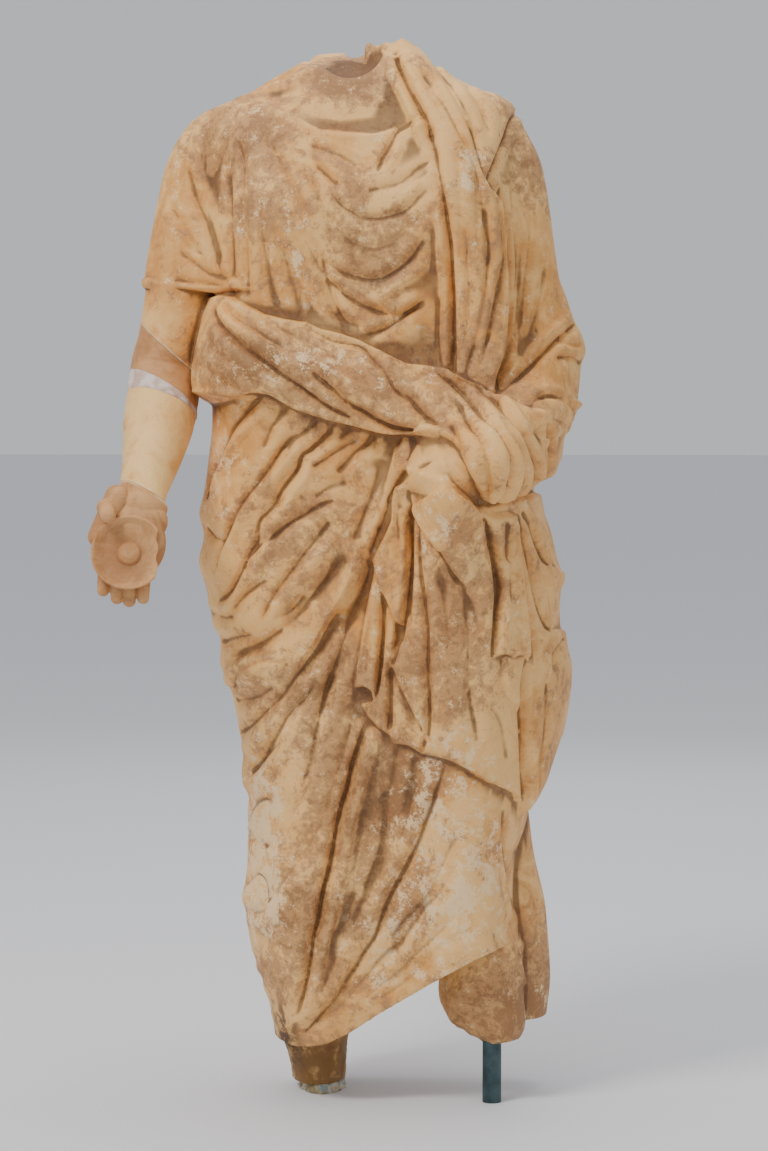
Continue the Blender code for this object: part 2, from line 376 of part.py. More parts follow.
def swelling(x, height, run):
    """Smooth bump along a run of stations, each with its own swelling and spread."""
    best = np.zeros(np.broadcast(x, height).shape)
    for (x0, z0, a0, w0), (x1, z1, a1, w1) in zip(run[:-1], run[1:]):
        dx, dz = x1 - x0, z1 - z0
        part = np.clip(((x - x0) * dx + (height - z0) * dz) / (dx * dx + dz * dz), 0.0, 1.0)
        gap = (x - x0 - part * dx) ** 2 + (height - z0 - part * dz) ** 2
        spread = w0 + (w1 - w0) * part
        best = np.maximum(best, (a0 + (a1 - a0) * part) * np.exp(-gap / spread ** 2))
    return best


def soft_step(value, start, end):
    part = np.clip((value - start) / (end - start), 0.0, 1.0)
    return part * part * (3.0 - 2.0 * part)


def sides(height):
    """Middle and half width of the body at a height."""
    low, high = follow(RIGHT_OUTLINE, height), follow(LEFT_OUTLINE, height)
    return (low + high) / 2.0, (high - low) / 2.0


def rounding(x, height):
    """How the depth falls off round the two sides of the body, from 1 in the middle to 0."""
    middle, half = sides(height)
    from_right = (x - middle + half) / follow(RIGHT_CORNER, height)
    from_left = (middle + half - x) / follow(LEFT_CORNER, height)
    rise = [np.sqrt(np.clip(1.0 - (1.0 - np.clip(part, 0.0, 1.0)) ** 2, 0.0, 1.0))
            for part in (from_right, from_left)]
    return rise[0] * rise[1] * (1.0 - CHEST_CURVE * ((x - 6.0) / 20.0) ** 2)


def arm_slimness(x, height):
    """The sleeve and the covered left arm are less deep than the body between them."""
    sleeve = soft_step(-x, 8.0, 15.5) * soft_step(height, 113.0, 115.3)
    sleeve = sleeve * (1.0 - soft_step(height, 128.0, 141.0))
    arm = soft_step(x, 23.5, 28.0) * soft_step(height, 98.0, 108.0)
    return 1.0 - (1.0 - SLEEVE_SLIMNESS) * sleeve - (1.0 - CLOAK_ARM_SLIMNESS) * arm


def front_of(x, height):
    """How far the front of the body stands before its middle."""
    edge = rounding(x, height)
    bumps = sum(swelling(x, height, run) for run in FRONT_SWELLINGS.values())
    return edge * arm_slimness(x, height) * follow(FRONT_DEPTH, height) + np.sqrt(edge) * bumps


def back_of(x, height):
    edge = rounding(x, height)
    bumps = sum(swelling(x, height, run) for run in BACK_SWELLINGS.values())
    return edge * arm_slimness(x, height) * follow(BACK_DEPTH, height) + edge * bumps


def skin(turn, height):
    """Point of the smooth body at a turn about its middle, zero in front, and a height."""
    middle, half = sides(height)
    across = np.sin(turn)
    x = middle + half * across
    y = np.where(np.cos(turn) > 0.0, -front_of(x, height), back_of(x, height))
    return np.stack(np.broadcast_arrays(x, y, height), axis=-1)


def seen(points):
    """Turn and height of points on the front, given as seen from the viewer's place."""
    sight = np.array(points, dtype=float)
    y = np.zeros(len(sight))
    for _ in range(14):
        reach = (y - EYE[1]) / -EYE[1]
        x = EYE[0] + (sight[:, 0] - EYE[0]) * reach
        height = EYE[2] + (sight[:, 1] - EYE[2]) * reach
        middle, half = sides(height)
        across = np.clip((x - middle) / half, -0.9995, 0.9995)
        y = 0.5 * y - 0.5 * front_of(middle + half * across, height)
    return np.stack((np.arcsin(across), height), axis=-1)


def around(points):
    """Turn in degrees and height, as turn in radians and height."""
    return np.array([(math.radians(turn), height) for turn, height in points])


def smooth(points, steps=6):
    """More points along a smooth curve through the given ones."""
    points = np.array(points, dtype=float)
    ends = np.concatenate((2 * points[:1] - points[1:2], points, 2 * points[-1:] - points[-2:-1]))
    part = np.linspace(0.0, 1.0, steps, endpoint=False)[:, None]
    runs = []
    for before, start, end, after in zip(ends[:-3], ends[1:-2], ends[2:-1], ends[3:]):
        runs.append(0.5 * (2 * start + (end - before) * part
                           + (2 * before - 5 * start + 4 * end - after) * part ** 2
                           + (3 * start - before - 3 * end + after) * part ** 3))
    return np.concatenate(runs + [points[-1:]])


def laid_on_body(spots):
    """Points on the smooth body from turns and heights."""
    return skin(spots[:, 0], spots[:, 1])


class Relief:
    """The body as a closed tube of rows and columns, with carving laid on along its normals."""

    def __init__(self, columns, rows):
        turn = np.linspace(-0.5 * np.pi, 1.5 * np.pi, columns, endpoint=False)[None, :]
        level = np.linspace(0.0, 1.0, rows)[:, None]
        hem = follow(HEM, (np.sin(turn) + 1.0) / 2.0)
        height = hem + (LEFT_OUTLINE[-1][0] - hem) * level
        self.shape = (rows, columns)
        grid = skin(turn, height)
        tangent = np.roll(grid, -1, axis=1) - np.roll(grid, 1, axis=1)
        normal = np.cross(tangent, np.gradient(grid, axis=0))
        normal /= np.maximum(np.linalg.norm(normal, axis=-1, keepdims=True), 1e-9)
        self.points = grid.reshape(-1, 3)
        self.normals = normal.reshape(-1, 3)
        self.lift = np.zeros(rows * columns)
        reach = -EYE[1] / (self.points[:, 1] - EYE[1])
        front = np.broadcast_to(np.cos(turn) > 0.0, self.shape).ravel()
        self.sight_x = np.where(front, EYE[0] + (self.points[:, 0] - EYE[0]) * reach, 1e6)
        self.sight_z = EYE[2] + (self.points[:, 2] - EYE[2]) * reach

    def near(self, path, reach):
        """Points within reach of a path: their indices, distances, shares along it and sides."""
        low, high = path.min(axis=0) - reach, path.max(axis=0) + reach
        index = np.flatnonzero(np.all((self.points > low) & (self.points < high), axis=1))
        points, normals = self.points[index], self.normals[index]
        nearest = np.full(len(index), 1e9)
        along = np.zeros(len(index))
        side = np.zeros(len(index))
        lengths = np.linalg.norm(np.diff(path, axis=0), axis=1)
        travelled = np.concatenate(([0.0], np.cumsum(lengths)))
        for number, (start, end) in enumerate(zip(path[:-1], path[1:])):
            step = end - start
            offset = points - start
            part = np.clip(offset @ step / max(step @ step, 1e-9), 0.0, 1.0)
            offset -= part[:, None] * step
            gap = np.einsum("ij,ij->i", offset, offset)
            closer = gap < nearest
            nearest[closer] = gap[closer]
            along[closer] = (travelled[number] + part[closer] * lengths[number]) / travelled[-1]
            turn = np.einsum("ij,ij->i", np.cross(step, offset[closer]), normals[closer])
            side[closer] = np.sign(turn)
        return index, np.sqrt(nearest), along, side

    def crease(self, path, depth, width, lean=0.0, lip=0.26, fade=0.14):
        """A sharp valley beside a rounded fold, which runs out at both ends."""
        index, gap, along, side = self.near(path, 5.0 * width)
        run_out = np.sqrt(soft_step(along, 0.0, fade) * soft_step(1.0 - along, 0.0, fade))
        uneven = np.clip(1.0 + 3.0 * lean * side, 0.1, 2.0)
        shape = np.exp(-gap / width) - lip * np.exp(-((gap - 2.3 * width) / width) ** 2) * uneven
        self.lift[index] -= depth * run_out * shape

    def layer(self, outline, thickness, edge):
        """A sheet of cloth that lies on the front inside an outline, with a rounded edge."""
        corners = np.array(outline, dtype=float)
        inside = np.zeros(len(self.lift), dtype=bool)
        gap = np.full(len(self.lift), 1e9)
        for (x0, z0), (x1, z1) in zip(corners, np.roll(corners, -1, axis=0)):
            crosses = (z0 > self.sight_z) != (z1 > self.sight_z)
            rise = z1 - z0 if z1 != z0 else 1e-9
            inside ^= crosses & (self.sight_x < x0 + (self.sight_z - z0) * (x1 - x0) / rise)
            square = (x1 - x0) ** 2 + (z1 - z0) ** 2
            part = ((self.sight_x - x0) * (x1 - x0) + (self.sight_z - z0) * (z1 - z0)) / square
            part = np.clip(part, 0.0, 1.0)
            gap = np.minimum(gap, np.hypot(self.sight_x - x0 - part * (x1 - x0),
                                           self.sight_z - z0 - part * (z1 - z0)))
        depth_inside = np.where(inside, gap, -gap)
        swell = 1.0 - 0.22 * np.exp(-np.maximum(depth_inside, 0.0) / 1.6)
        self.lift += thickness * soft_step(depth_inside, -0.4 * edge, edge) * swell

    def mesh(self, name):
        """The carved body as a closed mesh, with a hollow underside below the hem."""
        rows, columns = self.shape
        points = (self.points + self.normals * self.lift[:, None]).reshape(rows, columns, 3)
        middle = points[0].mean(axis=0)
        rings = [points[0] + (middle - points[0]) * inwards + (0.0, 0.0, up)
                 for inwards, up in UNDERSIDE]
        top = points[-1].mean(axis=0)
        rings = np.concatenate((np.array(rings), points))
        count = len(rings) * columns
        corners = np.concatenate((rings.reshape(-1, 3), [middle + (0.0, 0.0, UNDERSIDE_MIDDLE), top]))
        row, column = np.meshgrid(np.arange(len(rings) - 1), np.arange(columns), indexing="ij")
        beside = (column + 1) % columns
        quads = np.stack((row * columns + column, row * columns + beside,
                          (row + 1) * columns + beside, (row + 1) * columns + column), axis=-1)
        first = np.arange(columns)
        second = (first + 1) % columns
        last_row = (len(rings) - 1) * columns
        foot = np.stack((second, first, np.full(columns, count)), axis=-1)
        head = np.stack((last_row + first, last_row + second, np.full(columns, count + 1)), axis=-1)
        faces = quads.reshape(-1, 4).tolist() + foot.tolist() + head.tolist()
        mesh = bpy.data.meshes.new(name)
        mesh.from_pydata([place(*corner) for corner in corners], [], faces)
        return mesh


def limb_mesh(name, stations):
    """A closed tube through stations, each ring square to the tube's own run."""
    knots = np.linspace(0.0, 1.0, len(stations))
    table = np.array(stations, dtype=float)
    steps = np.linspace(0.0, 1.0, LIMB_RINGS)
    values = np.stack([follow(list(zip(knots, table[:, k])), steps) for k in range(5)], axis=-1)
    run = np.gradient(values[:, :3], axis=0)
    run /= np.linalg.norm(run, axis=1, keepdims=True)
    shape = bmesh.new()
    loops = []
    for value, heading in zip(values, run):
        heading = Vector(heading)
        wide = Vector((1.0, 0.0, 0.0)) - heading * heading.x
        wide.normalize()
        deep = heading.cross(wide)
        loop = []
        for number in range(LIMB_SIDES):
            angle = 2.0 * math.pi * number / LIMB_SIDES
            reach = wide * (value[3] * math.cos(angle)) + deep * (value[4] * math.sin(angle))
            loop.append(shape.verts.new(place(*(Vector(value[:3]) + reach))))
        loops.append(loop)
    for lower, upper in zip(loops[:-1], loops[1:]):
        for number in range(LIMB_SIDES):
            after = (number + 1) % LIMB_SIDES
            shape.faces.new((lower[number], lower[after], upper[after], upper[number]))
    shape.faces.new(loops[0][::-1])
    shape.faces.new(loops[-1])
    bmesh.ops.recalc_face_normals(shape, faces=shape.faces)
    mesh = bpy.data.meshes.new(name)
    shape.to_mesh(mesh)
    shape.free()
    return mesh


def add_object(name, mesh, collection):
    thing = bpy.data.objects.new(name, mesh)
    collection.objects.link(thing)
    return thing


def join_meshes(name, meshes, collection):
    """One object from several closed meshes that lie through each other."""
    shape = bmesh.new()
    for mesh in meshes:
        shape.from_mesh(mesh)
        bpy.data.meshes.remove(mesh)
    joined = bpy.data.meshes.new(name)
    shape.to_mesh(joined)
    shape.free()
    return add_object(name, joined, collection)


def fuse(thing, grain, faces):
    """Grow the meshes of an object into one skin of about the given number of triangles."""
    remesh = thing.modifiers.new("one skin", "REMESH")
    remesh.mode = "VOXEL"
    remesh.voxel_size = grain
    thin = thing.modifiers.new("fewer faces", "DECIMATE")
    thin.use_collapse_triangulate = True
    thin.ratio = 1.0
    bpy.context.view_layer.update()
    full = thing.evaluated_get(bpy.context.evaluated_depsgraph_get()).data
    triangles = sum(len(face.vertices) - 2 for face in full.polygons)
    thin.ratio = min(1.0, faces / triangles)


def cut_away(thing, cutter, name):
    cut = thing.modifiers.new(name, "BOOLEAN")
    cut.operation = "DIFFERENCE"
    cut.solver = "EXACT"
    cut.object = cutter


def hide_cutter(cutter):
    cutter.hide_render = True
    cutter.display_type = "WIRE"


def arm_stretch(name, upper_plane=None, lower_plane=None, grown=0.0, apart=CLEARANCE):
    """The stretch of the right arm between two planes, closed by flat breaks."""
    stations = [(x, y, z, wide + grown, deep + grown) for x, y, z, wide, deep in RIGHT_ARM]
    mesh = limb_mesh(name, stations)
    shape = bmesh.new()
    shape.from_mesh(mesh)
    for plane, keep_below in ((upper_plane, True), (lower_plane, False)):
        if plane is None:
            continue
        spot, normal = plane
        up = Vector(normal).normalized()
        gap = -0.5 * apart if keep_below else 0.5 * apart
        geometry = shape.verts[:] + shape.edges[:] + shape.faces[:]
        bmesh.ops.bisect_plane(shape, geom=geometry, dist=1e-6, plane_co=place(*spot) + up * gap,
                               plane_no=up, clear_outer=keep_below, clear_inner=not keep_below)
        rim = [edge for edge in shape.edges if edge.is_boundary]
        bmesh.ops.edgeloop_fill(shape, edges=rim)
    bmesh.ops.recalc_face_normals(shape, faces=shape.faces)
    bmesh.ops.triangulate(shape, faces=shape.faces)
    shape.to_mesh(mesh)
    shape.free()
    return mesh


def lower_by(plane, shares):
    """The same plane, moved down its normal."""
    (x, y, z), normal = plane
    up = Vector(normal).normalized() * shares
    return (x - up.x, y - up.y, z - up.z), normal


def ball(shape, centre, radii, segments=20):
    """An ellipsoid in shares of the height, added to a bmesh."""
    size = Matrix.Diagonal((radii[0] * SHARE, radii[1] * SHARE, radii[2] * SHARE, 1.0))
    bmesh.ops.create_uvsphere(shape, u_segments=segments, v_segments=segments // 2, radius=1.0,
                              matrix=Matrix.Translation(place(*centre)) @ size)


def scoop_mesh(name):
    """The hollow in the front of the neck's break."""
    shape = bmesh.new()
    ball(shape, *NECK_SCOOP)
    mesh = bpy.data.meshes.new(name)
    shape.to_mesh(mesh)
    shape.free()
    return mesh


def finger(shape, start, end, thick_start, thick_end, beads=9):
    """A finger as a close row of balls."""
    for number in range(beads):
        part = number / (beads - 1.0)
        spot = [a + (b - a) * part for a, b in zip(start, end)]
        thick = thick_start + (thick_end - thick_start) * part
        ball(shape, spot, (thick, thick, thick), 12)


def bowl_mesh(name):
    """The libation bowl: a turned dish with a rim and a boss, broken off straight at one side."""
    shape = bmesh.new()
    loops = []
    for share, behind in BOWL_PROFILE:
        ring = []
        for number in range(BOWL_SIDES if share else 1):
            angle = 2.0 * math.pi * number / BOWL_SIDES
            x = share * BOWL_RADIUS * math.cos(angle)
            z = share * BOWL_RADIUS * math.sin(angle)
            y = behind * BOWL_THICK
            x = min(x, BOWL_BREAK + BOWL_BREAK_WAVE * math.sin(2.3 * z))
            turned = (x, y * math.cos(BOWL_TILT) + z * math.sin(BOWL_TILT),
                      z * math.cos(BOWL_TILT) - y * math.sin(BOWL_TILT))
            ring.append(shape.verts.new(place(*(Vector(BOWL_SPOT) + Vector(turned)))))
        loops.append(ring)
    for first, second in zip(loops[:-1], loops[1:]):
        for number in range(BOWL_SIDES):
            after = (number + 1) % BOWL_SIDES
            corners = [first[number % len(first)], first[after % len(first)],
                       second[after % len(second)], second[number % len(second)]]
            shape.faces.new(list(dict.fromkeys(corners)))
    bmesh.ops.remove_doubles(shape, verts=shape.verts, dist=1e-6)
    bmesh.ops.recalc_face_normals(shape, faces=shape.faces)
    mesh = bpy.data.meshes.new(name)
    shape.to_mesh(mesh)
    shape.free()
    return mesh


def hand_mesh(name):
    shape = bmesh.new()
    ball(shape, *PALM)
    for centre, radii in WRIST_BALLS:
        ball(shape, centre, radii)
    for row in (THUMB, THUMB_TIP, *FINGERS):
        finger(shape, *row)
    mesh = bpy.data.meshes.new(name)
    shape.to_mesh(mesh)
    shape.free()
    return mesh


def upright(name, diameter_x, diameter_y, low, high, spot, collection):
    """A round bar or bed, between two heights in metres."""
    bpy.ops.mesh.primitive_cylinder_add(vertices=ROUND_SIDES, radius=0.5, depth=1.0)
    bar = bpy.context.object
    bar.name = name
    centre = place(*spot, GROUND)
    bar.data.transform(Matrix.Translation((centre.x, centre.y, 0.5 * (low + high)))
                       @ Matrix.Diagonal((diameter_x, diameter_y, high - low, 1.0)))
    for old in bar.users_collection:
        old.objects.unlink(bar)
    collection.objects.link(bar)
    return bar


def broken_neck(name, collection):
    """The room of the lost head, over a break that rises towards the back."""
    (x, y, height), rise, (right, left) = NECK_BREAK
    bpy.ops.mesh.primitive_cube_add(size=1.0)
    room = bpy.context.object
    room.name = name
    size = Vector(((left - right) * SHARE, 2.0 * NECK_BREAK_ROOM * SHARE, NECK_BREAK_ROOM * SHARE))
    room.data.transform(Matrix.Translation(place(0.5 * (right + left), y, height))
                        @ Matrix.Rotation(math.atan(rise), 4, "X")
                        @ Matrix.Translation((0.0, 0.0, 0.5 * size.z)) @ Matrix.Diagonal((*size, 1.0)))
    for old in room.users_collection:
        old.objects.unlink(room)
    collection.objects.link(room)
    return room


def build_statue(parts, cutters):
    relief = Relief(BODY_COLUMNS, BODY_ROWS)
    for thickness, edge, outline in LAYERS.values():
        relief.layer(outline, thickness, edge)
    for depth, width, lean, points in CREASES:
        relief.crease(laid_on_body(seen(smooth(points))), CREASE_STRENGTH * depth, width, lean)
    for depth, width, points in ROUND_CREASES:
        relief.crease(laid_on_body(around(smooth(points))), depth, width)
    meshes = [relief.mesh("body"),
              arm_stretch("upper arm", lower_plane=lower_by(UPPER_BREAK, ARM_STUB)),
              limb_mesh("neck", NECK), limb_mesh("left leg", LEFT_LEG),
              limb_mesh("side cloth", SIDE_CLOTH), limb_mesh("right leg", RIGHT_LEG)]
    statue = join_meshes("statue", meshes, parts)
    fuse(statue, BODY_GRAIN, BODY_FACES)
    arm_cutter = add_object("lost arm", arm_stretch("lost arm", UPPER_BREAK, None, ARM_FREEDOM,
                                                   -CLEARANCE), cutters)
    ground_cutter = upright("ground", GROUND_ROOM, GROUND_ROOM, -GROUND_ROOM,
                            MORTAR_THICKNESS + CLEARANCE, ANKLE_SPOT, cutters)
    bore = upright("rod bore", ROD_DIAMETER + 2 * CLEARANCE, ROD_DIAMETER + 2 * CLEARANCE,
                   -GROUND_ROOM, rod_top() + CLEARANCE, ROD_SPOT, cutters)
    neck_cutter = broken_neck("lost head", cutters)
    scoop = scoop_mesh("scoop of the break")
    scoop_cutter = add_object("scoop of the break", scoop, cutters)
    for cutter in (arm_cutter, ground_cutter, bore, neck_cutter, scoop_cutter):
        hide_cutter(cutter)
    cut_away(statue, arm_cutter, "break of the arm")
    cut_away(statue, ground_cutter, "flat under the ankle")
    cut_away(statue, bore, "bore for the rod")
    cut_away(statue, neck_cutter, "break of the neck")
    cut_away(statue, scoop_cutter, "hollow of the neck's break")
    return statue


def rod_top():
    """Height in metres of the rod's upper end, inside the broken leg."""
    return (LEFT_LEG[-1][2] - GROUND) * SHARE + ROD_DEPTH_IN_STONE


def build_hand(parts, cutters):
    hand = join_meshes("hand_with_patera", [hand_mesh("fingers"), bowl_mesh("bowl")], parts)
    fuse(hand, HAND_GRAIN, HAND_FACES)
    above = add_object("forearm side", arm_stretch("forearm side", None, WRIST, ARM_FREEDOM,
                                                  -CLEARANCE), cutters)
    hide_cutter(above)
    cut_away(hand, above, "break of the wrist")
    return hand


def finish(thing):
    colour, roughness, metallic = COLOURS[thing.name]
    material = bpy.data.materials.new(thing.name)
    material.use_nodes = True
    shader = material.node_tree.nodes["Principled BSDF"]
    shader.inputs["Base Color"].default_value = (*colour, 1.0)
    shader.inputs["Roughness"].default_value = roughness
    shader.inputs["Metallic"].default_value = metallic
    thing.data.materials.clear()
    thing.data.materials.append(material)
    thing.data.shade_smooth()


def build():
    clear_scene()
    parts = bpy.data.collections.new("headless_statue")
    cutters = bpy.data.collections.new("cutters")
    for collection in (parts, cutters):
        bpy.context.scene.collection.children.link(collection)
    things = [
        build_statue(parts, cutters),
        add_object("elbow_fragment", arm_stretch("elbow", UPPER_BREAK, PLASTER_TOP), parts),
        add_object("plaster_fill", arm_stretch("plaster", PLASTER_TOP, PLASTER_FOOT), parts),
        add_object("forearm", arm_stretch("forearm", PLASTER_FOOT, WRIST), parts),
        build_hand(parts, cutters),
        upright("ankle_mortar", MORTAR_WIDTH, MORTAR_DEPTH, 0.0, MORTAR_THICKNESS, ANKLE_SPOT, parts),
        upright("support_rod", ROD_DIAMETER, ROD_DIAMETER, 0.0, rod_top(), ROD_SPOT, parts),
    ]
    for thing in things:
        finish(thing)


build()
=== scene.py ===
"""Looks of the headless marble figure: carved body, refitted arm, hand with a libation bowl."""
import math

import bpy
import numpy as np
from mathutils import Matrix, Vector


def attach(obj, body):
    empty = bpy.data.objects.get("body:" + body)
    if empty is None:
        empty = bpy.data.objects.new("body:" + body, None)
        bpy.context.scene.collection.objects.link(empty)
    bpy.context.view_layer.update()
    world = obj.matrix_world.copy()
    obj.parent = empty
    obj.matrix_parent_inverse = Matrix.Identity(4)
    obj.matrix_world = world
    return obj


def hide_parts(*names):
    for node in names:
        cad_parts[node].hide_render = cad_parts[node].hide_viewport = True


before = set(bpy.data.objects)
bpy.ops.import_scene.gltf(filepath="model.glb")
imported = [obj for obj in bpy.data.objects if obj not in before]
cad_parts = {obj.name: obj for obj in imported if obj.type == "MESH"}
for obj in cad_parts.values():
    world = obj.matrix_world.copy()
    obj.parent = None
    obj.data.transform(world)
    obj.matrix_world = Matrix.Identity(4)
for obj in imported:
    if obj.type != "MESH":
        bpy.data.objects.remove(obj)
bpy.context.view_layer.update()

bpy.ops.object.select_all(action="DESELECT")

# Sizes of the solids in metres
FIGURE_HEIGHT = 1.50
ROD_DIAMETER = 0.027
ROD_DEPTH_IN_STONE = 0.060
MORTAR_THICKNESS = 0.014
MORTAR_WIDTH = 0.064
MORTAR_DEPTH = 0.112
CLEARANCE = 0.0003

# One share of the height, and the frame's place in shares
SHARES_IN_HEIGHT = 150.0
SHARE = FIGURE_HEIGHT / SHARES_IN_HEIGHT
BODY_BEHIND = -3.0
GROUND = -1.2
EYE = (19.2, -460.0, 105.3)

# Camera, with the picture's middle below and beside the eye's level
FOCAL_PIXELS = 3206.0
IMAGE_HEIGHT = 1151.0
PIXELS_BELOW_EYE = 219.5
PIXELS_BESIDE_EYE = 71.0
LOOK_DOWN = math.atan(PIXELS_BELOW_EYE / FOCAL_PIXELS)
LOOK_RIGHT = math.atan(PIXELS_BESIDE_EYE / FOCAL_PIXELS)
FILM_WIDTH = 36.0

# Floor, room and lamps, each lamp with its place, size, power and colour
FLOOR_SIZE = 60.0
FLOOR_COLOUR = (0.80, 0.81, 0.84, 1.0)
FLOOR_ROUGHNESS = 0.9
ROOM_COLOUR = (0.78, 0.80, 0.84, 1.0)
ROOM_STRENGTH = 0.74
LIT_SPOT = (0.1, 0.0, 0.8)
LAMPS = [("key", (-1.9, -2.2, 3.9), 1.1, 108.0, (1.0, 0.95, 0.88)),
         ("fill", (3.2, -2.4, 1.6), 2.4, 10.0, (0.92, 0.96, 1.0)),
         ("top", (0.4, 0.2, 4.2), 1.6, 40.0, (1.0, 0.98, 0.95)),
         ("back", (0.6, 3.4, 2.4), 2.4, 16.0, (0.95, 0.97, 1.0))]

# Fineness of the carved body and the hand
BODY_COLUMNS = 760
BODY_ROWS = 660
BODY_GRAIN = 0.0021
BODY_FACES = 190000
HAND_GRAIN = 0.0011
HAND_FACES = 60000
LIMB_SIDES = 96
LIMB_RINGS = 120

# A limb's run is evened out over this part of its rings, and its wear has these two grains
CALM_PART = 14
WEAR_GRAINS = (3.0, 1.1)

# Rounds that carry a point from the viewer's sight onto the body, kept off its very edge
SIGHT_ROUNDS = 14
NEAR_EDGE = 0.9995

# Depth in metres that counts as a full hollow, and how widely it is measured
HOLLOW_DEPTH = 0.0035
HOLLOW_ROUNDS = 24

# Points closer than this in metres are one
SAME_SPOT = 1e-5
SAME_SPOT_AT_BREAK = 2e-5

# Outline of the body and its cloth on the side of the right arm, as (height, x)
RIGHT_OUTLINE = [
    (4.0, -5.6), (6.0, -6.6), (9.3, -7.1), (12.7, -7.9), (15.5, -8.8), (18.8, -9.9), (21.0, -10.4),
    (24.9, -11.0), (27.5, -11.5), (30.0, -10.9), (37.0, -10.6), (41.5, -10.5), (45.0, -11.6),
    (48.0, -11.3), (52.4, -12.0), (57.9, -13.2), (61.5, -14.6), (64.4, -14.5), (67.0, -15.6),
    (71.8, -16.5), (76.0, -17.6), (79.5, -16.9), (82.7, -17.5), (86.0, -16.8), (91.0, -16.1),
    (96.0, -15.6), (98.6, -15.6), (99.9, -17.3), (103.8, -16.7), (109.3, -15.5), (114.4, -14.4),
    (115.3, -25.3), (119.7, -24.8), (125.9, -23.6), (131.1, -22.5), (135.0, -21.0), (138.2, -18.8),
    (139.9, -16.6), (141.3, -13.4), (142.4, -10.0), (144.1, -7.2), (146.0, -3.7), (147.0, -1.6),
    (147.4, 5.4), (149.2, 7.4),
]

# The same outline on the side of the covered left arm
LEFT_OUTLINE = [
    (4.0, 26.0), (10.0, 27.6), (20.0, 28.2), (28.0, 27.8), (34.0, 28.2), (37.5, 29.3), (42.0, 30.4),
    (45.3, 31.3), (48.0, 32.3), (52.4, 33.0), (57.0, 33.6), (60.0, 33.8), (63.5, 33.1),
    (68.9, 32.7), (73.4, 33.0), (76.3, 32.3), (79.9, 31.5), (82.5, 30.6), (86.0, 30.2),
    (88.0, 31.6), (90.4, 33.6), (94.2, 34.1), (95.4, 35.2), (97.6, 36.3), (101.4, 36.8),
    (103.9, 37.0), (106.2, 37.6), (108.5, 37.0), (110.2, 36.1), (113.3, 35.1), (116.6, 34.0),
    (120.7, 33.4), (127.8, 32.4), (131.6, 31.7), (133.8, 31.0), (136.0, 29.9), (138.2, 28.6),
    (139.8, 27.2), (141.2, 25.4), (142.6, 21.4), (143.7, 19.4), (145.3, 17.3), (147.8, 13.8),
    (149.2, 11.8),
]

# Lower edge of the long garment from right to left, as (share of the width, height)
HEM = [(0.0, 7.2), (0.08, 6.9), (0.2, 7.4), (0.33, 9.4), (0.46, 12.2), (0.6, 15.2), (0.75, 18.6),
       (0.9, 21.4), (1.0, 22.3)]
UNDERSIDE = [(0.55, 3.2), (0.07, 1.4), (0.05, 0.2)]
UNDERSIDE_MIDDLE = 3.4

# Depth of the body in front of and behind its middle, as (height, depth)
FRONT_DEPTH = [(4.0, 10.5), (20.0, 11.5), (40.0, 12.0), (60.0, 12.6), (78.0, 13.2), (92.0, 12.6),
               (104.0, 12.0), (114.4, 12.2), (126.0, 12.2), (133.0, 11.2), (139.0, 9.4),
               (143.0, 7.8), (146.5, 6.4), (149.2, 4.0)]
BACK_DEPTH = [(4.0, 9.0), (20.0, 10.5), (40.0, 11.2), (60.0, 12.6), (76.0, 14.0), (90.0, 12.6),
              (102.0, 11.0), (114.4, 12.0), (127.0, 13.4), (135.0, 12.4), (140.0, 10.6),
              (144.0, 8.6), (147.0, 7.0), (149.2, 4.0)]

# How far in from each side the body reaches its full depth, as (height, distance)
RIGHT_CORNER = [(4.0, 9.0), (30.0, 11.0), (60.0, 13.0), (84.0, 12.0), (100.0, 9.0), (114.4, 6.5),
                (115.3, 14.0), (132.0, 15.0), (142.0, 12.0), (147.3, 6.0), (149.2, 2.0)]
LEFT_CORNER = [(4.0, 4.0), (22.0, 4.6), (36.0, 7.0), (60.0, 11.0), (84.0, 13.0), (100.0, 13.0),
               (114.4, 13.0), (132.0, 14.0), (141.0, 11.0), (147.3, 4.0), (149.2, 2.0)]
CHEST_CURVE = 0.07
CHEST_MIDDLE = 6.0
CHEST_HALF = 20.0

# The sleeve and the covered left arm are less deep, from and to these places
SLEEVE_SLIMNESS = 0.60
SLEEVE_FROM_CHEST = (8.0, 15.5)
SLEEVE_FROM_FOOT = (113.0, 115.3)
SLEEVE_TO_SHOULDER = (128.0, 141.0)
CLOAK_ARM_SLIMNESS = 0.72
CLOAK_ARM_FROM_CHEST = (23.5, 28.0)
CLOAK_ARM_FROM_WAIST = (98.0, 108.0)

# Round the sleeve's foot the columns stay upright inside of this side
SLEEVE_SIDE = -9.0
CALM_HEIGHTS = np.linspace(-9.0, 9.0, 13)
UPRIGHT_FROM = (92.0, 104.0)
UPRIGHT_TO = (125.0, 136.0)

# How wide the valley of a crease is, and where the rounded folds beside it lie
VALLEY_REACH = 0.8
LIP_REACH = 0.75
LIP_LEAST = 0.45
LIP_PLACE = 1.9

# How a sheet of cloth sinks beside its edge, and how wide that dip is
EDGE_DIP = 0.22
DIP_WIDTH = 1.6

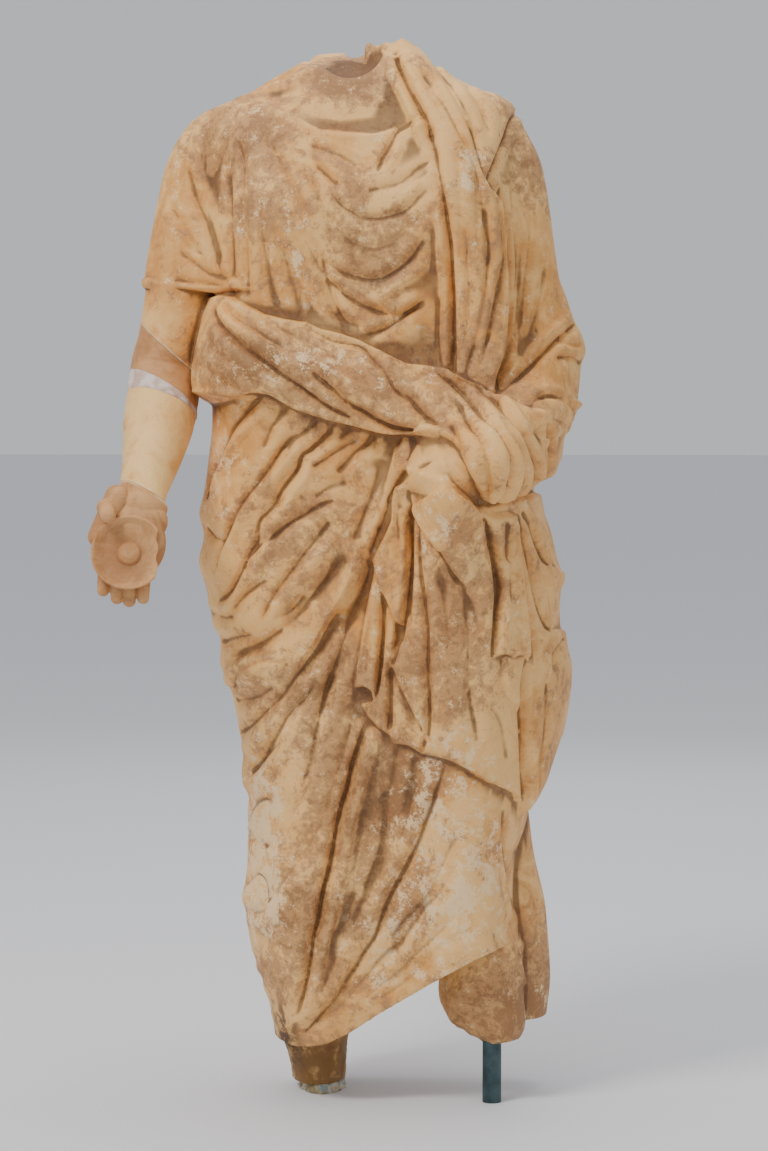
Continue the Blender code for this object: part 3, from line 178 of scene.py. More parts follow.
# Large swellings of the form in front: (x, height, swelling, spread) along each run
FRONT_SWELLINGS = {
    "left forearm": [(34.0, 101.0, 2.0, 5.5), (29.5, 95.5, 6.5, 6.0), (25.2, 90.0, 9.8, 5.0),
                     (25.0, 88.6, 9.0, 3.6)],
    "left hand": [(14.2, 90.2, 6.0, 3.2), (16.6, 89.4, 7.6, 4.3), (18.6, 85.8, 6.6, 4.2),
                  (18.4, 79.0, 2.6, 3.4)],
    "waist roll": [(-18.0, 106.0, 1.6, 5.0), (-6.0, 103.6, 2.6, 4.6), (6.0, 101.0, 3.2, 4.6),
                   (16.0, 97.6, 4.2, 4.6), (22.0, 93.6, 5.6, 4.8)],
    "right thigh": [(-3.0, 88.0, 0.4, 9.0), (-5.5, 68.0, 1.6, 8.5), (-3.0, 44.0, 1.4, 7.5),
                    (-2.5, 18.0, 0.6, 6.0)],
    "left thigh": [(20.0, 78.0, 0.6, 9.0), (20.5, 60.0, 3.6, 8.5), (20.5, 46.0, 4.4, 8.0),
                   (20.5, 30.0, 3.6, 7.5), (21.0, 14.0, 3.0, 7.0)],
    "chest": [(-3.0, 126.0, 1.6, 8.0), (12.0, 126.0, 1.6, 8.0)],
    "belly": [(5.0, 88.0, 1.2, 9.0)],
    "shoulder cloth": [(13.0, 143.0, 1.6, 3.4), (18.0, 134.0, 1.9, 3.6), (21.0, 122.0, 1.8, 3.6),
                       (22.0, 104.0, 1.6, 3.6)],
    "cascade": [(21.0, 82.0, 2.2, 7.0), (17.0, 66.0, 2.6, 8.0), (15.0, 54.0, 2.0, 7.0)],
}
BACK_SWELLINGS = {
    "shoulder blades": [(-6.0, 130.0, 1.0, 7.0), (-5.0, 124.0, 0.8, 7.0)],
    "left shoulder blade": [(16.0, 130.0, 1.2, 7.0), (17.0, 124.0, 0.8, 7.0)],
    "seat": [(-2.0, 80.0, 1.8, 9.0), (14.0, 80.0, 1.8, 9.0)],
    "cloth over the back": [(14.0, 146.0, 0.8, 5.0), (6.0, 120.0, 1.2, 9.0), (-8.0, 104.0, 1.0, 8.0)],
}

# Layers of cloth that lie on what is behind: (thickness, edge, outline as seen from the front)
LAYERS = {
    "bare neck": (-0.45, 0.5, [
        (-8.6, 142.0), (-6.3, 140.4), (-3.5, 138.7), (0.2, 137.3), (4.3, 136.9), (7.2, 136.7), (9.2, 137.0),
        (10.9, 137.5), (14.4, 140.0), (13.5, 142.3), (12.2, 145.0), (10.9, 147.3), (8.0, 151.0),
        (0.0, 151.0), (-1.5, 147.0), (-2.5, 145.0), (-5.0, 143.8)]),
    "column of the neck": (0.45, 2.6, [
        (-1.7, 151.0), (-1.6, 146.4), (-1.0, 143.6), (0.2, 141.4), (2.6, 140.0), (6.4, 140.0), (9.0, 141.4),
        (10.4, 144.0), (11.0, 147.0), (11.0, 151.0)]),
    "right shoulder border": (0.35, 0.5, [
        (-12.0, 141.4), (-8.2, 142.2), (-6.0, 143.5), (-4.2, 144.3), (-2.5, 145.0), (-1.6, 145.6),
        (-1.6, 149.0), (-8.0, 147.0), (-13.0, 143.0)]),
    "waist roll": (1.9, 0.45, [
        (-19.0, 99.9), (-13.5, 99.7), (-10.0, 100.1), (-7.3, 100.0), (-5.6, 99.0), (-3.8, 97.9),
        (-2.2, 97.5), (-0.5, 96.9), (1.7, 96.3), (4.4, 95.7), (9.9, 94.5), (12.1, 94.1), (14.1, 93.7),
        (17.5, 93.3), (18.9, 92.6), (20.1, 91.4), (21.1, 89.5), (21.9, 87.9), (22.3, 86.4), (22.6, 85.5),
        (23.2, 84.9), (24.0, 84.7), (25.2, 84.9), (27.3, 85.6), (28.3, 86.2), (29.4, 87.2), (31.0, 89.0),
        (31.0, 97.0), (25.1, 99.2), (21.8, 101.1), (19.9, 102.1), (18.5, 103.1), (16.1, 103.5),
        (12.1, 103.9), (9.9, 105.0), (7.7, 106.1), (5.5, 107.4), (2.4, 108.5), (0.0, 109.1), (-2.0, 110.1),
        (-5.1, 110.6), (-7.8, 111.3), (-10.6, 112.7), (-12.4, 113.6), (-19.0, 114.0)]),
    "second edge of the roll": (0.35, 0.3, [
        (-4.0, 98.6), (-2.2, 97.4), (0.0, 96.4), (4.4, 95.0), (9.9, 93.9), (14.0, 93.2), (17.4, 92.8),
        (17.4, 94.5), (0.0, 100.0)]),
    "cascade": (1.5, 0.45, [
        (12.6, 90.0), (13.8, 84.0), (13.5, 76.0), (12.9, 70.0), (12.2, 65.5), (11.5, 62.5), (10.8, 60.5),
        (11.4, 58.5), (12.6, 56.0), (13.9, 53.6), (14.9, 51.4), (15.2, 49.6), (14.5, 48.2), (16.2, 47.9),
        (18.2, 47.2), (20.1, 46.3), (22.0, 45.0), (23.6, 44.0), (25.3, 43.3), (26.9, 42.4), (27.9, 41.0),
        (28.5, 39.0), (31.0, 44.0), (36.0, 60.0), (36.0, 76.0), (31.0, 86.0), (22.0, 84.0), (18.0, 88.0)]),
    "lens fold": (0.7, 0.35, [
        (12.2, 64.5), (13.4, 63.6), (14.6, 62.6), (15.3, 60.2), (15.5, 56.0), (15.4, 51.0), (15.0, 49.0),
        (14.4, 48.2), (14.0, 49.6), (14.9, 52.0), (13.6, 54.6), (12.4, 57.0), (11.4, 59.6), (10.4, 60.8),
        (10.2, 62.2), (10.9, 63.6)]),
    "inner panel": (0.9, 0.4, [
        (9.4, 63.0), (10.8, 61.0), (11.5, 59.0), (12.6, 56.5), (14.2, 53.6), (15.0, 51.0), (14.3, 48.3),
        (12.4, 49.3), (10.7, 49.6), (9.9, 50.7), (9.6, 56.0)]),
    "third strip": (1.25, 0.4, [
        (9.0, 72.0), (9.3, 70.6), (10.3, 69.0), (11.3, 67.2), (10.9, 63.4), (10.1, 60.0), (9.9, 55.0),
        (9.9, 50.8), (8.3, 51.9), (6.8, 53.4), (6.0, 55.2), (7.9, 56.0), (8.4, 57.0), (8.7, 61.0),
        (9.0, 66.0)]),
    "second strip": (1.5, 0.35, [
        (7.7, 75.5), (7.0, 71.6), (6.2, 67.0), (5.5, 62.6), (4.9, 58.4), (4.9, 57.6), (6.2, 57.8),
        (7.3, 57.1), (7.6, 55.7), (6.2, 54.9), (7.2, 54.9), (8.1, 55.8), (8.2, 57.6), (8.6, 62.0),
        (9.0, 67.0), (9.1, 71.0)]),
    "first strip": (2.1, 0.35, [
        (12.9, 88.5), (11.6, 87.0), (10.8, 84.8), (10.2, 81.6), (8.6, 78.4), (7.3, 75.9), (7.8, 74.2),
        (8.6, 72.2), (9.4, 70.4), (10.4, 68.4), (11.4, 66.8), (12.0, 66.5), (12.4, 69.0), (12.8, 73.0),
        (13.2, 78.0), (13.6, 82.0), (13.8, 84.4), (13.4, 87.0)]),
    "fall under the hand": (0.8, 0.5, [
        (14.0, 84.2), (15.8, 81.0), (17.2, 78.0), (18.6, 75.2), (20.0, 72.4), (21.2, 69.4), (22.3, 65.6),
        (23.2, 61.0), (23.6, 66.0), (23.9, 71.0), (23.5, 75.0), (22.7, 79.0), (22.3, 84.0), (18.0, 87.0)]),
    "hanging fold": (1.5, 0.35, [
        (22.2, 83.6), (22.5, 80.5), (23.3, 76.9), (24.1, 74.0), (24.4, 72.0), (24.2, 69.5), (24.0, 65.6),
        (23.9, 62.1), (25.1, 62.4), (26.1, 61.9), (26.9, 62.4), (28.5, 61.5), (28.3, 65.0), (27.7, 71.5),
        (27.2, 75.6), (26.7, 79.5), (26.4, 83.6)]),
    "inner tip": (0.8, 0.3, [
        (24.8, 62.8), (25.2, 58.5), (25.7, 57.0), (26.6, 55.6), (27.5, 54.2), (27.7, 58.5), (27.9, 62.6)]),
    "shoulder band": (1.2, 0.4, [
        (10.4, 150.5), (11.0, 147.3), (12.2, 144.9), (13.5, 142.3), (14.6, 140.1), (15.4, 138.2),
        (16.4, 134.6), (16.9, 131.6), (17.5, 128.4), (18.1, 124.3), (18.7, 121.3), (18.9, 118.0),
        (19.2, 112.0), (19.3, 101.0), (25.0, 99.5), (25.7, 108.0), (25.8, 114.0), (25.7, 122.0),
        (25.2, 127.0), (23.4, 130.3), (22.6, 131.8), (21.6, 135.0), (20.8, 138.2), (19.4, 141.0),
        (17.0, 144.6), (13.8, 148.6)]),
    "shoulder corner": (1.1, 0.35, [
        (16.0, 146.6), (19.0, 144.2), (23.9, 142.4), (27.6, 141.7), (28.0, 140.7), (27.5, 139.6),
        (26.6, 138.4), (25.8, 136.3), (25.0, 134.4), (24.1, 132.3), (23.2, 130.2), (22.2, 132.6),
        (21.0, 136.6), (18.6, 141.0)]),
    "sleeve border": (0.45, 0.3, [
        (-27.0, 116.5), (-23.5, 116.5), (-21.0, 116.1), (-18.6, 115.6), (-16.0, 115.1), (-12.8, 114.9),
        (-12.8, 113.6), (-27.0, 113.6)]),
    "knot at the sleeve": (0.6, 0.35, [
        (-13.3, 115.6), (-12.9, 116.4), (-12.3, 116.6), (-11.7, 116.3), (-11.5, 115.6), (-11.8, 115.0),
        (-12.4, 114.7), (-13.0, 115.0)]),
    "nub at the side": (0.6, 0.4, [
        (30.2, 75.4), (31.8, 74.8), (33.6, 74.0), (33.2, 72.6), (32.4, 71.4), (31.6, 70.2), (31.0, 72.4)]),
    "cuff of the left arm": (0.9, 0.5, [
        (29.6, 97.4), (30.6, 95.5), (30.6, 91.9), (31.0, 89.4), (30.4, 87.0), (33.0, 88.4), (34.6, 91.8),
        (35.6, 95.6), (37.0, 99.0), (34.0, 99.4), (31.0, 99.2)]),
    "left flap at the hip": (0.5, 0.4, [
        (-18.0, 100.2), (-17.0, 99.0), (-15.6, 98.2), (-13.5, 98.8), (-10.0, 100.2), (-12.0, 101.4)]),
    "pouch over the knee": (0.7, 0.5, [
        (-5.0, 62.2), (-8.0, 62.8), (-11.0, 62.0), (-14.0, 60.4), (-14.2, 57.4), (-11.6, 58.2),
        (-8.0, 60.2), (-5.4, 60.4)]),
    "right edge of the cloak": (0.8, 0.5, [
        (28.6, 66.0), (29.4, 60.0), (29.0, 52.0), (28.4, 44.0), (28.4, 39.6), (30.0, 42.0), (36.0, 55.0),
        (36.0, 66.0)]),
}

# Creases and folds as (depth, width, lean, points as seen from the front)
CREASES = [
    # Neckline and chest
    (0.85, 0.4, 0.4, [(14.8, 140.2), (12.1, 138.1), (10.9, 137.3), (10.1, 135.9), (9.2, 134.2),
        (8.0, 131.6)]),
    (0.25, 0.4, 0.0, [(14.8, 139.4), (12.6, 137.2), (11.4, 135.0)]),
    (0.4, 0.35, 0.2, [(-1.8, 135.5), (0.6, 134.6), (3.1, 133.6), (5.3, 132.4)]),
    (-0.22, 0.8, 0.0, [(-9.4, 142.2), (-7.2, 140.4), (-3.9, 139.2), (-1.0, 137.4), (1.9, 136.8),
        (5.6, 136.7), (8.8, 137.1), (11.2, 138.2)]),
    (0.45, 0.38, 0.3, [(-8.6, 138.2), (-6.3, 134.2), (-4.7, 131.0), (-3.1, 127.7), (-1.8, 124.8),
        (-1.0, 122.4), (0.2, 119.5), (1.4, 114.6), (3.1, 110.1), (4.0, 107.4)]),
    (0.35, 0.36, 0.2, [(-4.4, 133.2), (-1.0, 129.7), (1.0, 125.6), (2.4, 123.2)]),
    (0.35, 0.32, 0.0, [(-0.8, 132.4), (2.5, 129.5)]),
    (0.3, 0.36, 0.2, [(-6.4, 136.6), (-3.4, 134.4), (0.4, 131.6), (3.4, 128.6)]),
    (0.55, 0.45, 0.2, [(0.8, 129.4), (3.1, 126.9), (5.6, 125.4), (8.0, 125.0), (10.9, 125.6), (12.9, 126.7),
        (15.4, 129.6)]),
    (-0.25, 0.6, 0.0, [(2.6, 128.4), (4.6, 126.6), (6.8, 125.9), (9.4, 126.1), (12.6, 127.8)]),
    (0.5, 0.4, 0.0, [(6.6, 128.8), (8.8, 129.3), (11.3, 130.1), (13.7, 131.8), (16.2, 133.4)]),
    (0.3, 0.4, 0.0, [(11.4, 128.6), (13.4, 130.2), (15.6, 131.8)]),
    (0.65, 0.45, 0.2, [(0.2, 119.3), (3.1, 117.2), (5.6, 116.4), (8.0, 116.2), (10.1, 117.0), (12.9, 119.1),
        (14.8, 122.0)]),
    (0.28, 0.45, 0.0, [(3.0, 122.6), (5.4, 121.2), (8.4, 120.8), (11.6, 122.6), (14.6, 126.2)]),
    (-0.35, 0.6, 0.0, [(5.8, 113.0), (8.6, 113.8), (11.2, 115.6), (13.7, 117.5), (15.0, 118.8)]),
    (0.75, 0.42, 0.2, [(0.6, 116.4), (3.9, 113.7), (6.8, 112.1), (9.2, 111.3), (11.3, 111.3), (13.3, 112.1),
        (14.8, 113.2)]),
    (0.8, 0.36, 0.2, [(6.0, 107.9), (8.8, 109.0), (11.3, 110.5), (14.4, 112.9)]),
    (0.3, 0.4, 0.0, [(1.0, 112.0), (3.4, 110.4), (6.0, 109.4)]),
    (0.35, 0.36, 0.0, [(16.7, 113.6), (16.6, 108.6), (16.8, 103.8)]),
    (0.3, 0.4, 0.0, [(17.4, 121.0), (17.6, 112.0), (17.8, 104.4)]),
    (0.25, 0.45, 0.0, [(15.9, 130.6), (16.2, 124.0), (15.6, 117.0)]),
    (0.35, 0.36, 0.2, [(-3.9, 126.0), (-2.6, 122.4), (-1.2, 119.8), (0.6, 116.4)]),
    (0.3, 0.4, 0.2, [(-7.0, 124.4), (-5.0, 118.6), (-3.0, 112.0)]),
    (0.25, 0.4, 0.2, [(-5.2, 121.4), (-3.4, 116.6), (-0.6, 110.6)]),
    # Right sleeve and the side of the chest
    (0.4, 0.45, 0.0, [(-15.9, 140.0), (-16.2, 136.5), (-16.6, 131.0)]),
    (0.4, 0.4, 0.0, [(-12.1, 139.6), (-13.4, 136.5), (-14.1, 134.0), (-14.9, 130.4)]),
    (0.35, 0.4, 0.0, [(-18.6, 138.0), (-19.4, 134.0), (-19.8, 129.0)]),
    (0.5, 0.42, 0.0, [(-11.9, 136.5), (-11.2, 133.0), (-11.2, 129.4), (-11.4, 122.0)]),
    (0.65, 0.42, 0.2, [(-19.0, 132.6), (-18.3, 129.4), (-17.3, 126.4), (-16.1, 123.7), (-15.1, 120.3),
        (-14.2, 116.6)]),
    (0.6, 0.38, 0.2, [(-23.4, 124.6), (-21.3, 123.0), (-19.8, 121.5), (-18.6, 120.6), (-17.0, 119.6)]),
    (0.6, 0.38, 0.2, [(-24.0, 119.9), (-21.5, 120.4), (-20.0, 119.9), (-18.6, 119.0), (-15.9, 117.1),
        (-13.4, 116.5)]),
    (0.4, 0.35, 0.2, [(-21.4, 126.6), (-19.8, 123.7), (-18.1, 121.3), (-16.2, 118.4)]),
    (0.6, 0.4, 0.0, [(-13.0, 131.4), (-12.8, 123.2), (-12.5, 116.8)]),
    (0.45, 0.38, 0.0, [(-10.7, 125.2), (-10.6, 118.3), (-10.4, 113.8)]),
    (0.4, 0.38, 0.0, [(-8.6, 127.2), (-8.2, 122.2), (-7.2, 116.8), (-6.2, 112.6)]),
    (0.45, 0.35, 0.0, [(-26.0, 116.5), (-23.5, 117.0), (-21.0, 116.4), (-18.6, 115.9), (-13.6, 115.1)]),
    (0.35, 0.35, 0.0, [(-17.0, 129.0), (-15.6, 124.0), (-14.0, 119.0)]),
    # Band of cloth over the left shoulder
    (1.5, 0.4, -0.5, [(10.7, 148.6), (11.1, 147.2), (12.1, 144.9), (13.7, 141.6), (15.4, 138.3),
        (16.2, 135.6)]),
    (0.6, 0.4, -0.4, [(15.6, 137.6), (16.6, 134.6), (17.3, 130.6), (17.8, 126.6)]),
    (1.6, 0.42, -0.3, [(17.6, 128.6), (18.3, 124.0), (18.7, 120.7), (18.9, 116.6), (19.1, 112.5),
        (19.2, 102.6)]),
    (0.7, 0.4, 0.3, [(13.0, 146.6), (14.9, 143.6), (17.4, 140.0), (19.2, 136.6), (20.8, 133.6),
        (22.0, 129.6), (22.6, 125.6), (22.9, 121.0)]),
    (0.8, 0.4, 0.0, [(16.2, 145.0), (18.4, 142.4), (20.3, 138.4), (21.6, 134.6), (22.7, 131.2),
        (23.8, 128.4), (24.6, 124.4), (25.0, 120.2), (24.7, 116.0), (24.0, 111.0), (22.9, 105.0),
        (22.2, 101.8)]),
    (0.4, 0.36, 0.0, [(11.9, 147.6), (13.6, 144.6), (16.2, 140.6), (18.2, 137.0)]),
    (0.8, 0.38, 0.2, [(22.8, 127.0), (23.2, 122.6), (23.2, 118.2), (22.8, 112.6), (22.0, 107.6),
        (20.7, 101.8)]),
    (0.6, 0.38, 0.0, [(20.4, 124.4), (20.9, 118.4), (21.1, 112.5), (20.5, 106.0)]),
    (0.55, 0.36, 0.0, [(24.4, 119.0), (24.1, 113.0), (23.4, 106.6)]),
    (0.35, 0.45, 0.0, [(18.6, 135.4), (19.4, 130.4), (19.9, 124.0), (19.9, 114.0)]),
    (0.35, 0.4, 0.0, [(21.5, 132.0), (21.7, 126.0), (21.8, 119.0)]),
    (0.4, 0.4, 0.0, [(20.4, 143.0), (22.6, 139.6), (23.6, 136.0)]),
    (0.3, 0.4, 0.0, [(22.6, 142.6), (24.6, 140.2), (25.4, 137.6)]),
    (0.9, 0.4, 0.4, [(27.6, 140.2), (26.4, 138.2), (25.2, 134.9), (24.2, 132.2), (23.4, 129.8)]),
    (0.9, 0.5, 0.0, [(24.0, 130.4), (25.0, 127.6), (25.4, 123.0)]),
    (2.6, 0.6, 0.0, [(25.4, 129.6), (26.0, 124.6), (26.1, 119.2), (26.2, 113.7), (26.2, 108.1),
        (25.8, 103.8), (24.8, 100.0)]),
    (0.7, 0.42, 0.0, [(26.9, 129.4), (27.2, 124.0), (27.6, 118.0), (27.0, 112.0), (26.4, 106.0)]),
    (0.55, 0.45, 0.0, [(28.4, 128.9), (28.6, 122.2), (28.2, 114.7), (27.4, 109.0), (26.0, 102.0)]),
    (0.5, 0.5, 0.0, [(29.9, 129.6), (29.8, 122.6), (29.0, 115.0), (28.0, 108.0)]),
    (0.35, 0.5, 0.0, [(32.0, 118.1), (31.2, 113.0), (29.6, 107.6)]),
    # Roll of cloth round the waist
    (1.5, 0.42, 0.2, [(-13.8, 112.0), (-13.6, 110.2), (-12.8, 108.7), (-11.5, 107.2), (-10.0, 105.8),
        (-8.2, 104.5), (-6.2, 103.2), (-2.5, 101.0), (1.1, 98.9), (5.6, 96.9)]),
    (1.4, 0.42, 0.2, [(-1.6, 103.0), (0.0, 101.9), (1.7, 100.8), (3.9, 99.3), (6.6, 97.8), (9.9, 96.1),
        (12.1, 95.4), (15.4, 94.4)]),
    (0.8, 0.4, 0.2, [(-3.8, 109.8), (-2.0, 109.0), (0.0, 107.9), (1.9, 106.9), (5.6, 105.9), (7.2, 104.3),
        (8.8, 102.5), (10.7, 100.1), (13.0, 98.6), (17.3, 94.5)]),
    (0.5, 0.4, 0.0, [(-12.6, 112.6), (-11.3, 110.5), (-9.5, 108.7), (-7.8, 107.4), (-5.0, 105.6)]),
    (0.37, 0.4, 0.0, [(-14.6, 107.4), (-13.0, 105.0), (-11.5, 104.3), (-10.0, 102.8), (-8.2, 101.0)]),
    (0.43, 0.4, 0.0, [(-16.0, 104.0), (-14.1, 103.0), (-12.6, 101.7), (-10.6, 100.7), (-7.8, 100.3)]),
    (0.31, 0.4, 0.0, [(-6.4, 108.8), (-1.0, 106.0), (4.0, 103.0), (8.0, 99.8)]),
    (0.25, 0.4, 0.0, [(-8.6, 110.2), (-4.0, 108.0), (-0.6, 106.6)]),
    (1.3, 0.42, 0.2, [(15.8, 102.6), (18.0, 100.9), (19.7, 99.2), (21.3, 97.3), (23.2, 95.2), (24.9, 93.1),
        (25.8, 90.6), (25.6, 87.3), (24.2, 84.4)]),
    (0.37, 0.4, 0.0, [(9.1, 101.9), (11.1, 99.7), (13.2, 98.3), (15.6, 96.1), (18.6, 93.6)]),
    (0.31, 0.4, 0.0, [(8.4, 96.8), (10.1, 96.3), (12.3, 95.4), (14.4, 94.5)]),
    (1.0, 0.4, 0.0, [(18.6, 98.6), (19.9, 96.9), (21.3, 94.7), (22.8, 92.6), (23.7, 90.4), (23.7, 88.0),
        (23.0, 85.0)]),
    (0.8, 0.38, 0.0, [(18.4, 94.6), (19.9, 92.8), (21.1, 90.9), (22.1, 88.3), (22.9, 85.4)]),
    (1.5, 0.42, 0.2, [(24.2, 99.0), (25.6, 96.6), (27.1, 94.2), (28.3, 91.8), (29.4, 89.6), (29.4, 87.6),
        (28.3, 84.9)]),
    (1.0, 0.4, 0.0, [(25.0, 95.4), (26.2, 93.0), (27.3, 90.6), (27.8, 88.5), (27.3, 86.4), (26.2, 84.6)]),
    (0.31, 0.4, 0.0, [(13.0, 103.0), (17.0, 99.6), (20.4, 95.6)]),
    (0.31, 0.4, 0.0, [(22.4, 100.2), (24.6, 97.0), (26.4, 93.0)]),
    # Left elbow and forearm
    (1.12, 0.42, 0.3, [(25.6, 100.1), (29.7, 103.5), (31.4, 105.2), (33.7, 107.4), (36.6, 110.0)]),
    (0.83, 0.42, 0.3, [(30.4, 98.6), (32.3, 99.4), (34.0, 99.1), (35.2, 98.3), (36.2, 96.8)]),
    (0.68, 0.42, 0.0, [(32.0, 96.6), (33.7, 96.1), (35.4, 95.3)]),
    (0.75, 0.42, 0.0, [(33.6, 105.0), (36.1, 105.1), (37.4, 104.0)]),
    (0.6, 0.42, 0.0, [(34.0, 107.6), (35.4, 107.0), (37.4, 106.6)]),
    (1.65, 0.59, 0.0, [(30.8, 96.8), (31.6, 94.2), (32.1, 92.0), (32.0, 90.0), (31.2, 87.4)]),
    (-0.6, 0.8, 0.0, [(30.0, 98.0), (30.4, 95.7), (30.4, 92.3)]),
    # Hand under the cloth
    (0.85, 0.4, -0.4, [(13.6, 93.2), (12.6, 91.6), (12.0, 90.2)]),
    (0.3, 0.4, 0.0, [(19.2, 92.6), (20.3, 90.6), (21.1, 88.4), (21.6, 85.6), (21.8, 82.0)]),
    (-0.35, 0.59, 0.0, [(13.0, 87.6), (14.2, 88.6), (15.5, 89.7), (17.4, 91.0)]),
    (0.6, 0.4, 0.0, [(13.2, 88.0), (14.4, 89.2), (15.6, 90.1), (17.0, 90.8)]),
    (0.25, 0.4, 0.0, [(13.4, 86.0), (15.0, 86.0), (17.0, 85.4)]),
    (0.3, 0.4, 0.0, [(12.2, 87.4), (12.9, 86.2), (13.6, 84.6)]),
    # Pull of the cloth from the right hip up to the waist
    (1.07, 0.55, 0.3, [(-8.2, 99.7), (-10.0, 98.1), (-11.5, 96.6), (-12.8, 95.0), (-14.1, 92.4),
        (-15.0, 90.2), (-15.9, 87.6), (-16.5, 84.6)]),
    (0.58, 0.5, 0.2, [(-4.9, 98.6), (-6.0, 96.6), (-7.3, 94.8), (-8.6, 91.8)]),
    (1.15, 0.5, 0.3, [(-3.4, 94.4), (-5.2, 92.5), (-6.9, 90.3), (-8.8, 87.8), (-10.7, 85.6), (-12.3, 83.3),
        (-13.5, 80.5), (-14.7, 77.6), (-15.8, 74.0)]),
    (0.58, 0.5, 0.2, [(-0.4, 96.3), (-2.0, 94.8), (-4.0, 93.1), (-5.0, 91.0)]),
    (1.33, 0.55, 0.3, [(1.9, 95.5), (0.2, 93.4), (-1.5, 91.9), (-2.7, 91.0), (-3.5, 89.0), (-5.3, 86.6),
        (-6.9, 84.0), (-9.0, 81.5), (-9.5, 78.9), (-10.8, 76.6), (-13.1, 71.8), (-15.0, 70.0)]),
    (0.41, 0.5, 0.0, [(4.1, 94.9), (2.4, 93.1)]),
    (0.83, 0.5, 0.2, [(7.9, 94.4), (6.6, 92.7), (5.0, 91.5), (3.5, 90.0), (2.2, 88.5)]),
    (0.58, 0.5, 0.2, [(5.5, 93.4), (2.8, 92.0), (0.3, 90.4), (-1.8, 89.0)]),
    (0.91, 0.5, 0.2, [(2.0, 84.6), (0.2, 83.9), (-2.1, 82.7), (-4.7, 81.1), (-6.9, 79.4), (-8.9, 78.1),
        (-10.6, 76.2)]),
    (0.83, 0.5, 0.2, [(1.4, 81.6), (-0.3, 79.5), (-2.1, 77.3), (-4.0, 74.7), (-6.3, 71.8), (-7.6, 69.8),
        (-8.9, 67.4)]),
    (0.58, 0.5, 0.0, [(-7.6, 73.4), (-9.5, 72.1), (-11.1, 70.8), (-12.8, 68.8)]),
    (0.41, 0.5, 0.0, [(-11.6, 74.8), (-9.0, 75.0)]),
    (1.07, 1.2, 0.3, [(4.4, 77.3), (2.4, 75.0), (0.5, 72.4), (-1.8, 69.8), (-4.0, 67.3), (-6.6, 65.3),
        (-9.2, 63.7), (-13.0, 62.2)]),
    (-0.83, 1.1, 0.0, [(5.6, 79.2), (3.7, 73.1), (1.8, 69.5), (-0.2, 66.3), (-2.1, 63.0), (-4.7, 59.8)]),
    (1.24, 1.0, 0.3, [(2.6, 69.0), (1.1, 66.0), (-0.8, 62.7), (-3.4, 59.5), (-6.0, 56.3), (-9.2, 53.4),
        (-12.0, 51.0)]),
    (0.99, 0.9, 0.2, [(7.6, 76.9), (6.6, 73.1), (5.0, 69.2), (3.7, 66.0), (2.4, 62.0), (1.1, 58.2),
        (-0.4, 53.0)]),
    (0.99, 0.5, 0.2, [(12.1, 89.1), (11.0, 86.9), (9.9, 84.9), (9.5, 83.1), (8.2, 79.8), (7.1, 76.6)]),
    (0.41, 0.4, 0.0, [(12.5, 86.4), (12.3, 81.6)]),
    (0.66, 0.8, 0.2, [(8.8, 90.6), (7.6, 86.4), (6.0, 82.0), (4.6, 78.4)]),
    (0.5, 0.59, 0.2, [(10.0, 92.4), (9.4, 88.6), (8.4, 84.6), (7.0, 81.0)]),
    (0.41, 0.5, 0.0, [(3.8, 87.4), (1.1, 86.3), (-1.0, 85.0)]),
    (0.83, 0.5, 0.2, [(-4.4, 60.6), (-6.0, 61.2), (-7.9, 61.3), (-10.2, 60.8), (-11.8, 59.6),
        (-12.8, 57.4)]),
    (0.99, 0.9, 0.2, [(-0.5, 59.2), (-2.1, 56.3), (-4.4, 54.0), (-6.0, 51.8), (-8.2, 48.2), (-10.6, 44.6)]),
    (0.74, 0.8, 0.2, [(1.8, 59.5), (0.5, 56.0), (-0.5, 52.4), (-1.5, 47.9), (-3.0, 43.0)]),
    (0.66, 0.59, 0.2, [(-2.0, 71.2), (-4.0, 69.0), (-7.0, 67.4)]),
    (0.58, 0.5, 0.0, [(-16.6, 80.6), (-15.4, 79.2), (-14.0, 78.6)]),
    (0.66, 0.5, 0.0, [(-16.4, 68.4), (-14.6, 67.8), (-12.6, 67.8)]),
    (0.66, 0.5, 0.0, [(-14.4, 64.2), (-12.4, 64.6), (-10.0, 65.2)]),
    (0.66, 0.8, 0.0, [(-12.4, 55.6), (-9.6, 56.2), (-7.0, 57.6)]),
    # Skirt below the knee
    (1.95, 0.64, 0.3, [(6.6, 52.9), (5.5, 50.0), (4.4, 46.2), (3.7, 43.0), (2.9, 40.2), (2.2, 37.0),
        (1.6, 33.8), (1.0, 30.7), (0.2, 27.5), (-0.4, 24.3), (-1.2, 21.1), (-2.0, 16.9), (-3.8, 9.6)]),
    (0.51, 0.4, 0.0, [(4.4, 52.9), (3.7, 49.8), (2.9, 46.9), (1.6, 43.0), (0.8, 39.0)]),
    (1.02, 0.5, -0.3, [(17.8, 46.5), (17.1, 44.3), (16.1, 41.2), (15.0, 38.3), (13.8, 35.1), (12.2, 31.6),
        (10.6, 28.5), (9.0, 25.0), (7.8, 21.7), (6.2, 18.9), (4.6, 16.3), (3.0, 13.7), (1.5, 11.5),
        (-2.0, 7.8), (-3.9, 7.0)]),
    (0.59, 0.8, 0.3, [(9.2, 42.6), (9.0, 37.6), (8.1, 32.6), (6.5, 28.1), (4.2, 22.4)]),
    (0.42, 1.0, 0.3, [(0.6, 39.6), (-0.4, 37.0), (-2.0, 34.5), (-3.9, 31.9), (-5.8, 29.4), (-7.7, 26.9),
        (-10.2, 24.5)]),
    (0.51, 0.35, 0.0, [(-8.0, 26.0), (-8.2, 29.0), (-9.2, 30.2), (-10.4, 29.6), (-11.6, 28.0)]),
